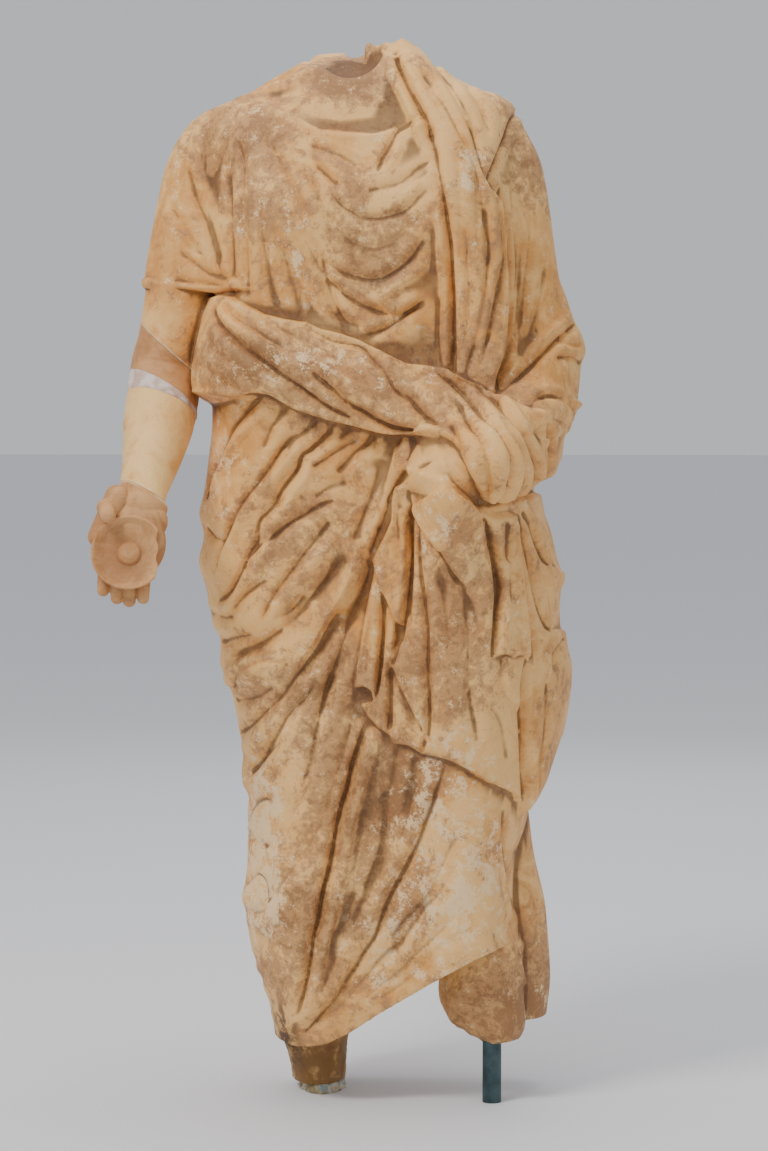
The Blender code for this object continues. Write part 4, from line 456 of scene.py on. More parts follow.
    (0.68, 0.35, 0.0, [(-7.4, 41.3), (-8.9, 41.1), (-9.9, 40.2), (-10.5, 38.6), (-10.7, 36.2)]),
    (0.42, 0.5, 0.2, [(-4.9, 50.0), (-7.7, 48.2), (-9.9, 46.2), (-12.0, 44.6)]),
    (0.42, 0.5, 0.2, [(-5.0, 23.4), (-7.2, 22.1), (-8.9, 19.5), (-10.0, 17.6)]),
    (0.42, 0.45, 0.2, [(-5.2, 21.4), (-7.1, 18.9), (-8.0, 17.3), (-8.8, 15.0)]),
    (0.34, 0.45, 0.2, [(-4.6, 16.4), (-6.0, 13.4), (-7.6, 11.2)]),
    (0.42, 0.8, 0.2, [(5.0, 29.4), (3.7, 25.7), (1.8, 21.2), (0.8, 18.0), (-0.4, 13.3), (-1.8, 9.6)]),
    (0.51, 0.8, 0.2, [(20.4, 33.2), (17.2, 28.1), (14.4, 25.0), (11.8, 21.1), (8.7, 18.2), (5.6, 14.4),
        (2.4, 10.9), (-1.4, 8.1)]),
    (0.38, 0.59, 0.2, [(19.8, 24.6), (17.5, 22.4), (14.4, 19.5), (11.2, 16.3), (8.1, 13.8), (4.9, 10.9)]),
    (0.51, 0.8, 0.2, [(19.9, 37.0), (18.2, 33.3), (16.6, 30.1), (14.8, 26.9), (12.5, 24.3), (9.6, 20.5)]),
    (0.34, 0.5, 0.2, [(22.0, 22.6), (18.2, 20.4), (14.4, 17.0), (10.6, 13.6), (7.4, 11.6)]),
    (-0.34, 1.2, 0.0, [(24.8, 36.2), (24.8, 30.7), (24.2, 23.4)]),
    (0.77, 0.5, -0.3, [(26.2, 40.0), (26.4, 37.0), (26.6, 33.0), (27.2, 28.0), (27.9, 23.0)]),
    (0.3, 0.8, 0.2, [(-1.6, 44.6), (-3.6, 40.4), (-5.8, 36.6), (-9.2, 33.4)]),
    (0.3, 0.8, 0.2, [(-3.4, 27.0), (-4.6, 22.4), (-5.6, 17.6)]),
    (0.42, 0.4, 0.0, [(-10.8, 36.4), (-9.4, 35.0), (-7.6, 34.6)]),
    (0.42, 0.4, 0.0, [(-11.4, 25.2), (-9.9, 24.6), (-8.0, 25.4)]),
    (0.26, 0.5, 0.0, [(10.8, 49.0), (10.2, 44.6), (8.8, 40.2)]),
    (0.26, 0.5, 0.0, [(13.6, 47.8), (12.8, 43.0), (11.4, 38.6)]),
    # Cascade below the left hand
    (1.27, 0.42, 0.0, [(14.9, 83.0), (14.8, 79.9), (14.8, 74.0), (15.2, 69.8), (15.6, 65.0), (15.7, 60.2),
        (15.8, 55.3), (15.7, 51.6), (15.4, 49.4)]),
    (1.02, 0.42, -0.3, [(14.0, 83.6), (13.7, 79.4), (13.5, 75.0), (13.3, 70.6), (13.0, 66.4)]),
    (1.02, 0.4, 0.0, [(9.4, 70.6), (9.2, 65.0), (8.9, 61.0), (8.5, 57.2)]),
    (1.02, 0.4, 0.0, [(10.4, 60.6), (10.2, 56.0), (10.1, 51.6)]),
    (0.85, 0.42, 0.4, [(13.8, 84.0), (15.0, 81.8), (17.2, 77.9), (18.5, 75.3), (19.9, 72.2)]),
    (0.42, 0.42, 0.0, [(11.4, 84.0), (11.8, 78.0), (11.4, 72.0)]),
    (0.42, 0.42, 0.0, [(10.2, 79.6), (9.8, 76.0), (10.4, 72.4)]),
    (0.42, 0.42, 0.0, [(7.6, 69.0), (7.0, 64.0), (6.6, 59.8)]),
    (0.42, 0.42, 0.0, [(17.2, 76.6), (17.8, 70.0), (18.2, 63.0)]),
    (0.42, 0.59, 0.0, [(20.4, 70.6), (20.6, 64.0), (20.8, 58.0), (21.8, 51.0)]),
    (0.42, 0.59, 0.0, [(16.9, 64.0), (17.3, 57.0), (17.4, 51.0)]),
    (0.77, 0.42, 0.0, [(22.2, 83.4), (22.3, 80.5), (23.1, 76.9), (23.9, 74.0), (24.2, 72.1), (23.9, 68.0),
        (23.7, 62.0)]),
    (0.94, 0.42, 0.0, [(26.5, 83.0), (26.9, 79.5), (27.4, 75.6), (27.9, 71.5), (28.4, 66.6), (28.7, 61.6)]),
    (0.59, 0.42, 0.0, [(24.6, 83.0), (24.6, 76.9), (25.3, 74.7), (25.5, 69.0)]),
    (0.51, 0.4, 0.0, [(25.9, 83.4), (26.0, 78.0), (26.4, 73.0)]),
    (1.02, 0.42, 0.2, [(27.5, 83.4), (28.5, 81.1), (29.8, 77.9), (31.3, 74.4)]),
    (0.85, 0.42, 0.0, [(26.9, 83.2), (28.2, 76.9), (29.1, 72.7), (30.1, 68.9), (31.8, 64.6)]),
    (0.68, 0.42, 0.0, [(33.0, 64.6), (31.7, 62.4), (31.7, 59.4)]),
    (1.36, 0.42, 0.3, [(27.9, 61.2), (27.6, 58.5), (27.6, 55.3), (27.8, 50.5), (28.0, 45.6), (28.3, 40.4)]),
    (0.42, 0.59, 0.0, [(22.3, 60.6), (23.0, 56.0), (24.8, 52.4), (25.8, 47.0)]),
    (0.34, 0.59, 0.0, [(20.7, 57.6), (21.4, 53.7), (22.0, 49.5)]),
    (0.59, 0.42, 0.0, [(30.6, 58.8), (30.6, 54.0), (30.0, 48.0), (29.2, 43.0)]),
]

# Upright and slanting folds of the cloak on the back and sides: (depth, width, turn and height)
ROUND_CREASES = [
    (1.4, 1.1, [(118.0, 122.0), (122.0, 90.0), (120.0, 50.0), (112.0, 26.0)]),
    (1.2, 1.0, [(134.0, 136.0), (140.0, 100.0), (142.0, 60.0), (138.0, 26.0)]),
    (1.1, 1.0, [(150.0, 140.0), (160.0, 108.0), (164.0, 66.0), (160.0, 24.0)]),
    (1.1, 1.1, [(128.0, 139.0), (176.0, 124.0), (228.0, 108.0), (262.0, 100.0)]),
    (1.0, 1.0, [(134.0, 132.0), (180.0, 116.0), (230.0, 101.0), (266.0, 92.0)]),
    (1.0, 1.1, [(150.0, 118.0), (190.0, 103.0), (236.0, 88.0), (266.0, 80.0)]),
    (1.0, 1.2, [(160.0, 100.0), (200.0, 86.0), (240.0, 72.0), (266.0, 66.0)]),
    (1.0, 1.2, [(172.0, 82.0), (208.0, 66.0), (244.0, 54.0), (268.0, 48.0)]),
    (1.0, 1.2, [(180.0, 60.0), (216.0, 44.0), (250.0, 34.0)]),
    (0.9, 1.1, [(190.0, 40.0), (222.0, 26.0), (254.0, 18.0)]),
    (1.0, 0.9, [(104.0, 116.0), (100.0, 86.0), (98.0, 48.0)]),
]

# Limbs as stations of (x, y, height, half width, half depth)
RIGHT_ARM = [(-18.6, 0.4, 124.0, 5.0, 5.2), (-20.0, 0.5, 114.0, 5.2, 5.6),
             (-21.2, 0.8, 108.0, 5.0, 5.6), (-22.2, 0.7, 103.5, 5.1, 5.8),
             (-22.6, -1.5, 99.5, 5.15, 5.6), (-22.8, -5.5, 96.0, 5.0, 5.1),
             (-23.1, -10.0, 92.5, 4.4, 4.5), (-23.5, -14.5, 89.2, 3.7, 3.8),
             (-23.9, -18.0, 86.7, 3.35, 3.1), (-24.1, -20.0, 85.0, 3.4, 2.8)]
NECK = [(4.6, 1.0, 132.0, 8.0, 7.0), (4.0, 0.6, 139.0, 6.6, 6.6), (3.5, 0.2, 144.0, 5.1, 6.3),
        (2.9, 0.4, 149.1, 4.4, 6.2)]
LEFT_LEG = [(22.0, -2.0, 32.0, 5.0, 5.5), (22.8, -2.8, 21.0, 6.0, 6.2),
            (23.4, -3.6, 14.0, 6.3, 6.6), (24.9, -4.6, 11.0, 4.9, 5.9),
            (25.8, -5.2, 9.0, 3.8, 4.9), (26.1, -5.4, 7.3, 2.5, 3.4)]
SIDE_CLOTH = [(27.0, 3.0, 44.0, 2.4, 4.0), (27.2, 3.0, 34.0, 3.4, 5.4), (28.0, 3.0, 24.0, 4.6, 6.2),
              (28.6, 3.0, 16.0, 4.6, 6.2), (28.8, 3.0, 9.6, 3.9, 5.4)]
RIGHT_LEG = [(-1.0, 2.0, 24.0, 6.0, 6.5), (-1.2, 2.6, 10.0, 5.3, 6.2), (-0.8, 3.0, 4.0, 4.3, 6.0),
             (-0.4, 3.0, -1.2, 3.6, 5.8)]

# Planes across the right arm as (x, y, height, normal): two breaks, the plaster and the wrist
UPPER_BREAK = ((-21.5, 0.0, 106.1), (0.66, 0.0, 0.75))
PLASTER_TOP = ((-23.0, 0.0, 99.8), (0.70, 0.42, 1.0))
PLASTER_FOOT = ((-23.15, 0.0, 97.3), (0.40, 0.42, 1.0))
WRIST = ((-23.7, -18.0, 86.0), (0.64, 0.43, 1.0))
NECK_BREAK = ((2.4, 0.0, 147.2), 0.30, (-4.0, 6.3))
NECK_BREAK_ROOM = 12.0
NECK_SCOOP = ((4.2, -8.0, 149.6), (5.6, 8.0, 5.5))
NECK_DIP = ((4.7, 3.0, 151.5), (2.4, 14.0, 3.7))
GROUND_ROOM = 0.40
ARM_STUB = 0.8
ARM_FREEDOM = 0.5
CUTTER = {"apart": -CLEARANCE, "grown": ARM_FREEDOM, "rings": 18, "sides_count": 32}

# The hand in shares of the height: a shallow bowl held before the palm
BOWL_SPOT = (-25.3, -24.6, 78.6)
BOWL_RADIUS = 5.2
BOWL_TILT = math.radians(16.0)
BOWL_THICK = 1.5
BOWL_BREAK = 3.9
BOWL_SIDES = 120
BREAK_UNEVENNESS = 0.15
BREAK_WAVES = 2.3

# The bowl's section from the middle of its back, over the rim, to the boss, as (radius, depth)
BOWL_PROFILE = [(0.0, 1.0), (0.45, 0.92), (0.86, 0.55), (0.98, 0.12), (1.0, 0.0), (0.97, -0.12),
                (0.93, -0.08), (0.88, 0.06), (0.8, 0.26), (0.66, 0.42), (0.5, 0.5), (0.32, 0.54),
                (0.28, 0.3), (0.14, 0.14), (0.0, 0.12)]

# Balls of the palm, the wrist, the thumb and the fingers
PALM = ((-25.0, -21.6, 79.8), (4.6, 1.8, 5.2))
WRIST_BALLS = [((-23.9, -18.2, 86.6), (3.3, 3.0, 2.8)), ((-24.0, -19.6, 84.6), (3.7, 2.9, 3.0)),
               ((-24.6, -20.7, 82.6), (4.4, 2.2, 3.2))]
THUMB = ((-27.2, -21.0, 86.0), (-29.6, -22.6, 80.6), 1.7, 1.5)
THUMB_TIP = ((-28.6, -22.6, 84.6), (-28.0, -24.8, 83.6), 1.25, 1.05)
FINGERS = [((-28.6, -23.0, 77.0), (-28.9, -23.4, 73.3), 1.1, 0.85),
           ((-27.0, -23.0, 76.0), (-27.0, -23.6, 72.3), 1.15, 0.9),
           ((-25.2, -23.0, 76.0), (-25.3, -23.8, 71.9), 1.15, 0.9),
           ((-23.4, -23.0, 76.0), (-23.4, -23.8, 72.3), 1.1, 0.85)]

# Places of the rod and the ankle in shares of the height
ROD_SPOT = (24.6, -6.9)
ANKLE_SPOT = (0.0, 3.0)

# Unevenness of the mortar bed as (size, grain in metres, seed), and how much wider its foot is
BED_SIDES = 96
BED_WAVES = [(0.03, 0.03, 21), (0.02, 0.012, 22)]
BED_FLARE = 0.06


def place(x, y, height):
    """World place in metres of a point given in shares of the height."""
    return Vector((x * SHARE, (y + BODY_BEHIND) * SHARE, (height - GROUND) * SHARE))


def place_all(points):
    """World places in metres of many points given in shares of the height."""
    return (np.asarray(points) + (0.0, BODY_BEHIND, -GROUND)) * SHARE


def follow(pairs, at):
    """Smooth curve through (place, value) pairs without overshoot, read at the given places."""
    knots, values = np.array(pairs, dtype=float).T
    run = np.diff(knots)
    rise = np.diff(values) / run
    before, after = rise[:-1], rise[1:]
    slope = np.concatenate(([rise[0]], np.zeros(len(run) - 1), [rise[-1]]))
    same_way = before * after > 0.0
    total = np.where(same_way, before + after, 1.0)
    slope[1:-1] = np.where(same_way, 2.0 * before * after / total, 0.0)
    at = np.clip(at, knots[0], knots[-1])
    span = np.clip(np.searchsorted(knots, at, side="right") - 1, 0, len(run) - 1)
    part = (at - knots[span]) / run[span]
    rest = 1.0 - part
    return (values[span] * rest * rest * (1.0 + 2.0 * part)
            + values[span + 1] * part * part * (3.0 - 2.0 * part)
            + run[span] * part * rest * (slope[span] * rest - slope[span + 1] * part))


def swelling(x, height, run):
    """Smooth bump along a run of stations, each with its own swelling and spread."""
    best = np.zeros(np.broadcast(x, height).shape)
    for (x0, z0, a0, w0), (x1, z1, a1, w1) in zip(run[:-1], run[1:]):
        dx, dz = x1 - x0, z1 - z0
        part = np.clip(((x - x0) * dx + (height - z0) * dz) / (dx * dx + dz * dz), 0.0, 1.0)
        gap = (x - x0 - part * dx) ** 2 + (height - z0 - part * dz) ** 2
        spread = w0 + (w1 - w0) * part
        best = np.maximum(best, (a0 + (a1 - a0) * part) * np.exp(-gap / spread ** 2))
    return best


def soft_step(value, start, end):
    """From 0 at start to 1 at end, smoothly."""
    part = np.clip((value - start) / (end - start), 0.0, 1.0)
    return part * part * (3.0 - 2.0 * part)


def waves(points, grain, seed, count=11):
    """Uneven smooth waves over points, mostly between -1 and 1, about one grain long."""
    draw = np.random.default_rng(seed)
    total = np.zeros(len(points))
    for _ in range(count):
        way = draw.normal(size=3)
        way *= 2.0 * np.pi / (grain * np.linalg.norm(way)) * draw.uniform(0.6, 1.5)
        total += np.sin(points @ way + draw.uniform(0.0, 2.0 * np.pi))
    return total / math.sqrt(count)


def sides(height):
    """Middle and half width of the body at a height."""
    low, high = follow(RIGHT_OUTLINE, height), follow(LEFT_OUTLINE, height)
    return (low + high) / 2.0, (high - low) / 2.0


def rounding(x, height):
    """How the depth falls off round the two sides of the body, from 1 in the middle to 0."""
    middle, half = sides(height)
    from_right = (x - middle + half) / follow(RIGHT_CORNER, height)
    from_left = (middle + half - x) / follow(LEFT_CORNER, height)
    rise = [np.sqrt(np.clip(1.0 - (1.0 - np.clip(part, 0.0, 1.0)) ** 2, 0.0, 1.0))
            for part in (from_right, from_left)]
    return rise[0] * rise[1] * (1.0 - CHEST_CURVE * ((x - CHEST_MIDDLE) / CHEST_HALF) ** 2)


def arm_slimness(x, height):
    """The sleeve and the covered left arm are less deep than the body between them."""
    sleeve = soft_step(-x, *SLEEVE_FROM_CHEST) * soft_step(height, *SLEEVE_FROM_FOOT)
    sleeve = sleeve * (1.0 - soft_step(height, *SLEEVE_TO_SHOULDER))
    arm = soft_step(x, *CLOAK_ARM_FROM_CHEST) * soft_step(height, *CLOAK_ARM_FROM_WAIST)
    return 1.0 - (1.0 - SLEEVE_SLIMNESS) * sleeve - (1.0 - CLOAK_ARM_SLIMNESS) * arm


def front_of(x, height):
    """How far the front of the body stands before its middle."""
    edge = rounding(x, height)
    bumps = sum(swelling(x, height, run) for run in FRONT_SWELLINGS.values())
    return edge * arm_slimness(x, height) * follow(FRONT_DEPTH, height) + np.sqrt(edge) * bumps


def back_of(x, height):
    """How far the back of the body stands behind its middle."""
    edge = rounding(x, height)
    bumps = sum(swelling(x, height, run) for run in BACK_SWELLINGS.values())
    return edge * arm_slimness(x, height) * follow(BACK_DEPTH, height) + edge * bumps


def skin(turn, height):
    """Point of the smooth body at a turn about its middle, zero in front, and a height."""
    middle, half = sides(height)
    across = np.sin(turn)
    x = middle + half * across
    y = np.where(np.cos(turn) > 0.0, -front_of(x, height), back_of(x, height))
    return np.stack(np.broadcast_arrays(x, y, height), axis=-1)


def even_turn(turn, height):
    """Turns that keep the columns upright where the sleeve's foot widens the outline at once."""
    middle, half = sides(height)
    low, high = middle - half, middle + half
    calm = np.mean([follow(RIGHT_OUTLINE, height + step) for step in CALM_HEIGHTS], axis=0)
    across = np.sin(turn)
    share = 2.0 * (SLEEVE_SIDE - calm) / (high - calm) - 1.0
    outer = low + (across + 1.0) / (share + 1.0) * (SLEEVE_SIDE - low)
    inner = SLEEVE_SIDE + (across - share) / (1.0 - share) * (high - SLEEVE_SIDE)
    wanted = np.where(across < share, outer, inner)
    near_foot = soft_step(height, *UPRIGHT_FROM) * (1.0 - soft_step(height, *UPRIGHT_TO))
    across = across + near_foot * ((wanted - middle) / half - across)
    turned = np.arcsin(np.clip(across, -1.0, 1.0))
    return np.where(np.cos(turn) > 0.0, turned, np.pi - turned)


def seen(points):
    """Turn and height of points on the front, given as seen from the viewer's place."""
    sight = np.array(points, dtype=float)
    y = np.zeros(len(sight))
    for _ in range(SIGHT_ROUNDS):
        reach = (y - EYE[1]) / -EYE[1]
        x = EYE[0] + (sight[:, 0] - EYE[0]) * reach
        height = EYE[2] + (sight[:, 1] - EYE[2]) * reach
        middle, half = sides(height)
        across = np.clip((x - middle) / half, -NEAR_EDGE, NEAR_EDGE)
        y = 0.5 * y - 0.5 * front_of(middle + half * across, height)
    return np.stack((np.arcsin(across), height), axis=-1)


def around(points):
    """Turn in degrees and height, as turn in radians and height."""
    return np.array([(math.radians(turn), height) for turn, height in points])


def smooth(points, steps=6):
    """More points along a smooth curve through the given ones."""
    points = np.array(points, dtype=float)
    ends = np.concatenate((2 * points[:1] - points[1:2], points, 2 * points[-1:] - points[-2:-1]))
    part = np.linspace(0.0, 1.0, steps, endpoint=False)[:, None]
    runs = []
    for before, start, end, after in zip(ends[:-3], ends[1:-2], ends[2:-1], ends[3:]):
        runs.append(0.5 * (2 * start + (end - before) * part
                           + (2 * before - 5 * start + 4 * end - after) * part ** 2
                           + (3 * start - before - 3 * end + after) * part ** 3))
    return np.concatenate(runs + [points[-1:]])


def laid_on_body(spots):
    """Points on the smooth body from turns and heights."""
    return skin(spots[:, 0], spots[:, 1])


def make_active(thing):
    """Select one object alone."""
    bpy.ops.object.select_all(action="DESELECT")
    thing.select_set(True)
    bpy.context.view_layer.objects.active = thing


def start_editing(thing):
    """Open the mesh of one object, with all of it selected."""
    make_active(thing)
    bpy.ops.object.mode_set(mode="EDIT")
    bpy.ops.mesh.select_all(action="SELECT")


def sheet_of_points(name, rows):
    """A closed skin over rows of points, each row a ring, the first and last drawn to a point."""
    count, columns = rows.shape[:2]
    bpy.ops.mesh.primitive_grid_add(x_subdivisions=columns, y_subdivisions=count - 1, size=1.0)
    thing = bpy.context.object
    thing.name = name
    wrapped = np.concatenate((rows, rows[:, :1]), axis=1)
    thing.data.vertices.foreach_set("co", place_all(wrapped).ravel())
    thing.data.update()
    start_editing(thing)
    bpy.ops.mesh.remove_doubles(threshold=SAME_SPOT)
    bpy.ops.mesh.normals_make_consistent(inside=False)
    bpy.ops.object.mode_set(mode="OBJECT")
    return thing


class Relief:
    """The body as a closed tube of rows and columns, with carving laid on along its normals."""

    def __init__(self, columns, rows):
        turn = np.linspace(-0.5 * np.pi, 1.5 * np.pi, columns, endpoint=False)[None, :]
        level = np.linspace(0.0, 1.0, rows)[:, None]
        hem = follow(HEM, (np.sin(turn) + 1.0) / 2.0)
        height = hem + (LEFT_OUTLINE[-1][0] - hem) * level
        self.shape = (rows, columns)
        grid = skin(even_turn(turn, height), height)
        tangent = np.roll(grid, -1, axis=1) - np.roll(grid, 1, axis=1)
        normal = np.cross(tangent, np.gradient(grid, axis=0))
        normal /= np.maximum(np.linalg.norm(normal, axis=-1, keepdims=True), 1e-9)
        self.points = grid.reshape(-1, 3)
        self.normals = normal.reshape(-1, 3)
        self.lift = np.zeros(rows * columns)
        reach = -EYE[1] / (self.points[:, 1] - EYE[1])
        front = np.broadcast_to(np.cos(turn) > 0.0, self.shape).ravel()
        self.sight_x = np.where(front, EYE[0] + (self.points[:, 0] - EYE[0]) * reach, 1e6)
        self.sight_z = EYE[2] + (self.points[:, 2] - EYE[2]) * reach

    def near(self, path, reach):
        """Points within reach of a path: their indices, distances, shares along it and sides."""
        low, high = path.min(axis=0) - reach, path.max(axis=0) + reach
        index = np.flatnonzero(np.all((self.points > low) & (self.points < high), axis=1))
        points, normals = self.points[index], self.normals[index]
        nearest = np.full(len(index), 1e9)
        along = np.zeros(len(index))
        side = np.zeros(len(index))
        lengths = np.linalg.norm(np.diff(path, axis=0), axis=1)
        travelled = np.concatenate(([0.0], np.cumsum(lengths)))
        for number, (start, end) in enumerate(zip(path[:-1], path[1:])):
            step = end - start
            offset = points - start
            part = np.clip(offset @ step / max(step @ step, 1e-9), 0.0, 1.0)
            offset -= part[:, None] * step
            gap = np.einsum("ij,ij->i", offset, offset)
            closer = gap < nearest
            nearest[closer] = gap[closer]
            along[closer] = (travelled[number] + part[closer] * lengths[number]) / travelled[-1]
            turn = np.einsum("ij,ij->i", np.cross(step, offset[closer]), normals[closer])
            side[closer] = turn / np.maximum(np.linalg.norm(step) * np.sqrt(gap[closer]), 1e-6)
        return index, np.sqrt(nearest), along, side

    def crease(self, path, depth, width, lean=0.0, lip=0.26, fade=0.14):
        """A sharp valley beside a rounded fold, which runs out at both ends."""
        reach = LIP_REACH * width + LIP_LEAST
        index, gap, along, side = self.near(path, 4.0 * reach)
        run_out = np.sqrt(soft_step(along, 0.0, fade) * soft_step(1.0 - along, 0.0, fade))
        valley = np.exp(-gap / (VALLEY_REACH * width))
        uneven = np.clip(1.0 + 3.0 * lean * side, 0.1, 2.0)
        lips = np.exp(-((gap - LIP_PLACE * reach) / reach) ** 2) * uneven
        self.lift[index] -= depth * run_out * (valley - lip * lips)

    def layer(self, outline, thickness, edge):
        """A sheet of cloth that lies on the front inside an outline, with a rounded edge."""
        corners = np.array(outline, dtype=float)
        low, high = corners.min(axis=0) - 1.0, corners.max(axis=0) + 1.0
        index = np.flatnonzero((self.sight_x > low[0]) & (self.sight_x < high[0])
                               & (self.sight_z > low[1]) & (self.sight_z < high[1]))
        sight_x, sight_z = self.sight_x[index], self.sight_z[index]
        inside = np.zeros(len(index), dtype=bool)
        gap = np.full(len(index), 1e9)
        for (x0, z0), (x1, z1) in zip(corners, np.roll(corners, -1, axis=0)):
            crosses = (z0 > sight_z) != (z1 > sight_z)
            rise = z1 - z0 if z1 != z0 else 1e-9
            inside ^= crosses & (sight_x < x0 + (sight_z - z0) * (x1 - x0) / rise)
            square = (x1 - x0) ** 2 + (z1 - z0) ** 2
            part = ((sight_x - x0) * (x1 - x0) + (sight_z - z0) * (z1 - z0)) / square
            part = np.clip(part, 0.0, 1.0)
            gap = np.minimum(gap, np.hypot(sight_x - x0 - part * (x1 - x0),
                                           sight_z - z0 - part * (z1 - z0)))
        depth_inside = np.where(inside, gap, -gap)
        swell = 1.0 - EDGE_DIP * np.exp(-np.maximum(depth_inside, 0.0) / DIP_WIDTH)
        self.lift[index] += thickness * soft_step(depth_inside, -0.4 * edge, edge) * swell

    def piece(self, name):
        """The carved body as a closed mesh, with a hollow underside below the hem."""
        rows, columns = self.shape
        points = (self.points + self.normals * self.lift[:, None]).reshape(rows, columns, 3)
        middle = points[0].mean(axis=0)
        rings = [np.broadcast_to(middle + (0.0, 0.0, UNDERSIDE_MIDDLE), points[0].shape)]
        rings += [points[0] + (middle - points[0]) * inwards + (0.0, 0.0, up)
                  for inwards, up in UNDERSIDE]
        top = np.broadcast_to(points[-1].mean(axis=0), points[0].shape)
        return sheet_of_points(name, np.concatenate((np.array(rings), points, top[None])))


def limb_rows(stations, grown=0.0, wear=0.0, seed=3, rings=LIMB_RINGS, sides_count=LIMB_SIDES):
    """Rings of a limb through stations, each ring square to the limb's own run."""
    knots = np.linspace(0.0, 1.0, len(stations))
    table = np.array(stations, dtype=float)
    steps = np.linspace(0.0, 1.0, rings)
    values = np.stack([follow(list(zip(knots, table[:, k])), steps) for k in range(5)], axis=-1)
    run = np.gradient(values[:, :3], axis=0)
    calm = rings // CALM_PART
    if calm > 1:
        padded = np.pad(run, ((calm, calm), (0, 0)), mode="edge")
        run = np.mean([padded[k:k + rings] for k in range(2 * calm + 1)], axis=0)
    run /= np.linalg.norm(run, axis=1, keepdims=True)
    wide = np.array((1.0, 0.0, 0.0)) - run * run[:, :1]
    wide /= np.linalg.norm(wide, axis=1, keepdims=True)
    deep = np.cross(run, wide)
    angle = np.linspace(0.0, 2.0 * np.pi, sides_count, endpoint=False)[None, :, None]
    reach = (wide[:, None] * (values[:, None, 3:4] + grown) * np.cos(angle)
             + deep[:, None] * (values[:, None, 4:5] + grown) * np.sin(angle))
    rows = values[:, None, :3] + reach
    if wear:
        coarse, fine = WEAR_GRAINS
        flat = rows.reshape(-1, 3)
        bumps = waves(flat, coarse, seed) + 0.5 * waves(flat, fine, seed + 1)
        outwards = reach / np.linalg.norm(reach, axis=-1, keepdims=True)
        rows = rows + outwards * (wear * bumps).reshape(rows.shape[:2])[..., None]
    first = np.broadcast_to(values[0, :3], rows[:1].shape)
    last = np.broadcast_to(values[-1, :3], rows[:1].shape)
    return np.concatenate((first, rows, last))


def limb(name, stations, **settings):
    """A closed limb through stations."""
    return sheet_of_points(name, limb_rows(stations, **settings))


def join(things):
    """One object from several, under the first one's name."""
    make_active(things[0])
    for thing in things[1:]:
        thing.select_set(True)
    bpy.ops.object.join()
    return bpy.context.object


def apply_modifiers(thing):
    """Make the modifiers of an object part of its mesh."""
    make_active(thing)
    for name in [modifier.name for modifier in thing.modifiers]:
        bpy.ops.object.modifier_apply(modifier=name)


def fuse(thing, grain, faces):
    """Grow the meshes of an object into one skin of at most the given number of triangles."""
    remesh = thing.modifiers.new("one skin", "REMESH")
    remesh.mode = "VOXEL"
    remesh.voxel_size = grain
    apply_modifiers(thing)
    triangles = sum(len(face.vertices) - 2 for face in thing.data.polygons)
    if triangles > faces:
        thin = thing.modifiers.new("fewer faces", "DECIMATE")
        thin.use_collapse_triangulate = True
        thin.ratio = faces / triangles
        apply_modifiers(thing)
    name = thing.name
    thing = keep_largest(thing)
    thing.name = name
    return thing


def keep_largest(thing):
    """Drop the crumbs that lie loose inside or beside the main skin."""
    start_editing(thing)
    bpy.ops.mesh.separate(type="LOOSE")
    bpy.ops.object.mode_set(mode="OBJECT")
    crumbs = sorted(bpy.context.selected_objects, key=lambda crumb: len(crumb.data.vertices))
    main = crumbs.pop()
    main.name = "main skin"
    for crumb in crumbs:
        bpy.data.objects.remove(crumb, do_unlink=True)
    return main


def cut_away(thing, cutters):
    """Cut the rooms of lost or fitted parts out of a piece."""
    for cutter in cutters:
        cut = thing.modifiers.new(cutter.name, "BOOLEAN")
        cut.operation = "DIFFERENCE"
        cut.solver = "EXACT"
        cut.object = cutter
    apply_modifiers(thing)
    for cutter in cutters:
        bpy.data.objects.remove(cutter, do_unlink=True)


def arm_stretch(name, upper_plane=None, lower_plane=None, apart=CLEARANCE, **settings):
    """The stretch of the right arm between two planes, closed by flat breaks."""
    thing = limb(name, RIGHT_ARM, **settings)
    for plane, keep_below in ((upper_plane, True), (lower_plane, False)):
        if plane is None:
            continue
        spot, normal = plane
        up = Vector(normal).normalized()
        start_editing(thing)
        spot = place(*spot) + up * (-0.5 * apart if keep_below else 0.5 * apart)
        bpy.ops.mesh.bisect(plane_co=spot, plane_no=up, clear_outer=keep_below,
                            clear_inner=not keep_below)
        bpy.ops.mesh.select_all(action="SELECT")
        bpy.ops.mesh.remove_doubles(threshold=SAME_SPOT_AT_BREAK)
        bpy.ops.mesh.select_all(action="DESELECT")
        bpy.ops.mesh.select_non_manifold()
        bpy.ops.mesh.edge_face_add()
        bpy.ops.mesh.select_all(action="SELECT")
        bpy.ops.mesh.normals_make_consistent(inside=False)
        bpy.ops.object.mode_set(mode="OBJECT")
    return thing


def lower_by(plane, shares):
    """The same plane, moved down its normal."""
    (x, y, z), normal = plane
    up = Vector(normal).normalized() * shares
    return (x - up.x, y - up.y, z - up.z), normal


def upright(name, diameter_x, diameter_y, low, high, spot, sides_count=48):
    """A round bar or bed, between two heights in metres."""
    centre = place(*spot, GROUND)
    bpy.ops.mesh.primitive_cylinder_add(vertices=sides_count, radius=0.5, depth=1.0)
    bar = bpy.context.object
    bar.name = name
    bar.data.transform(Matrix.Translation((centre.x, centre.y, 0.5 * (low + high)))
                       @ Matrix.Diagonal((diameter_x, diameter_y, high - low, 1.0)))
    return bar


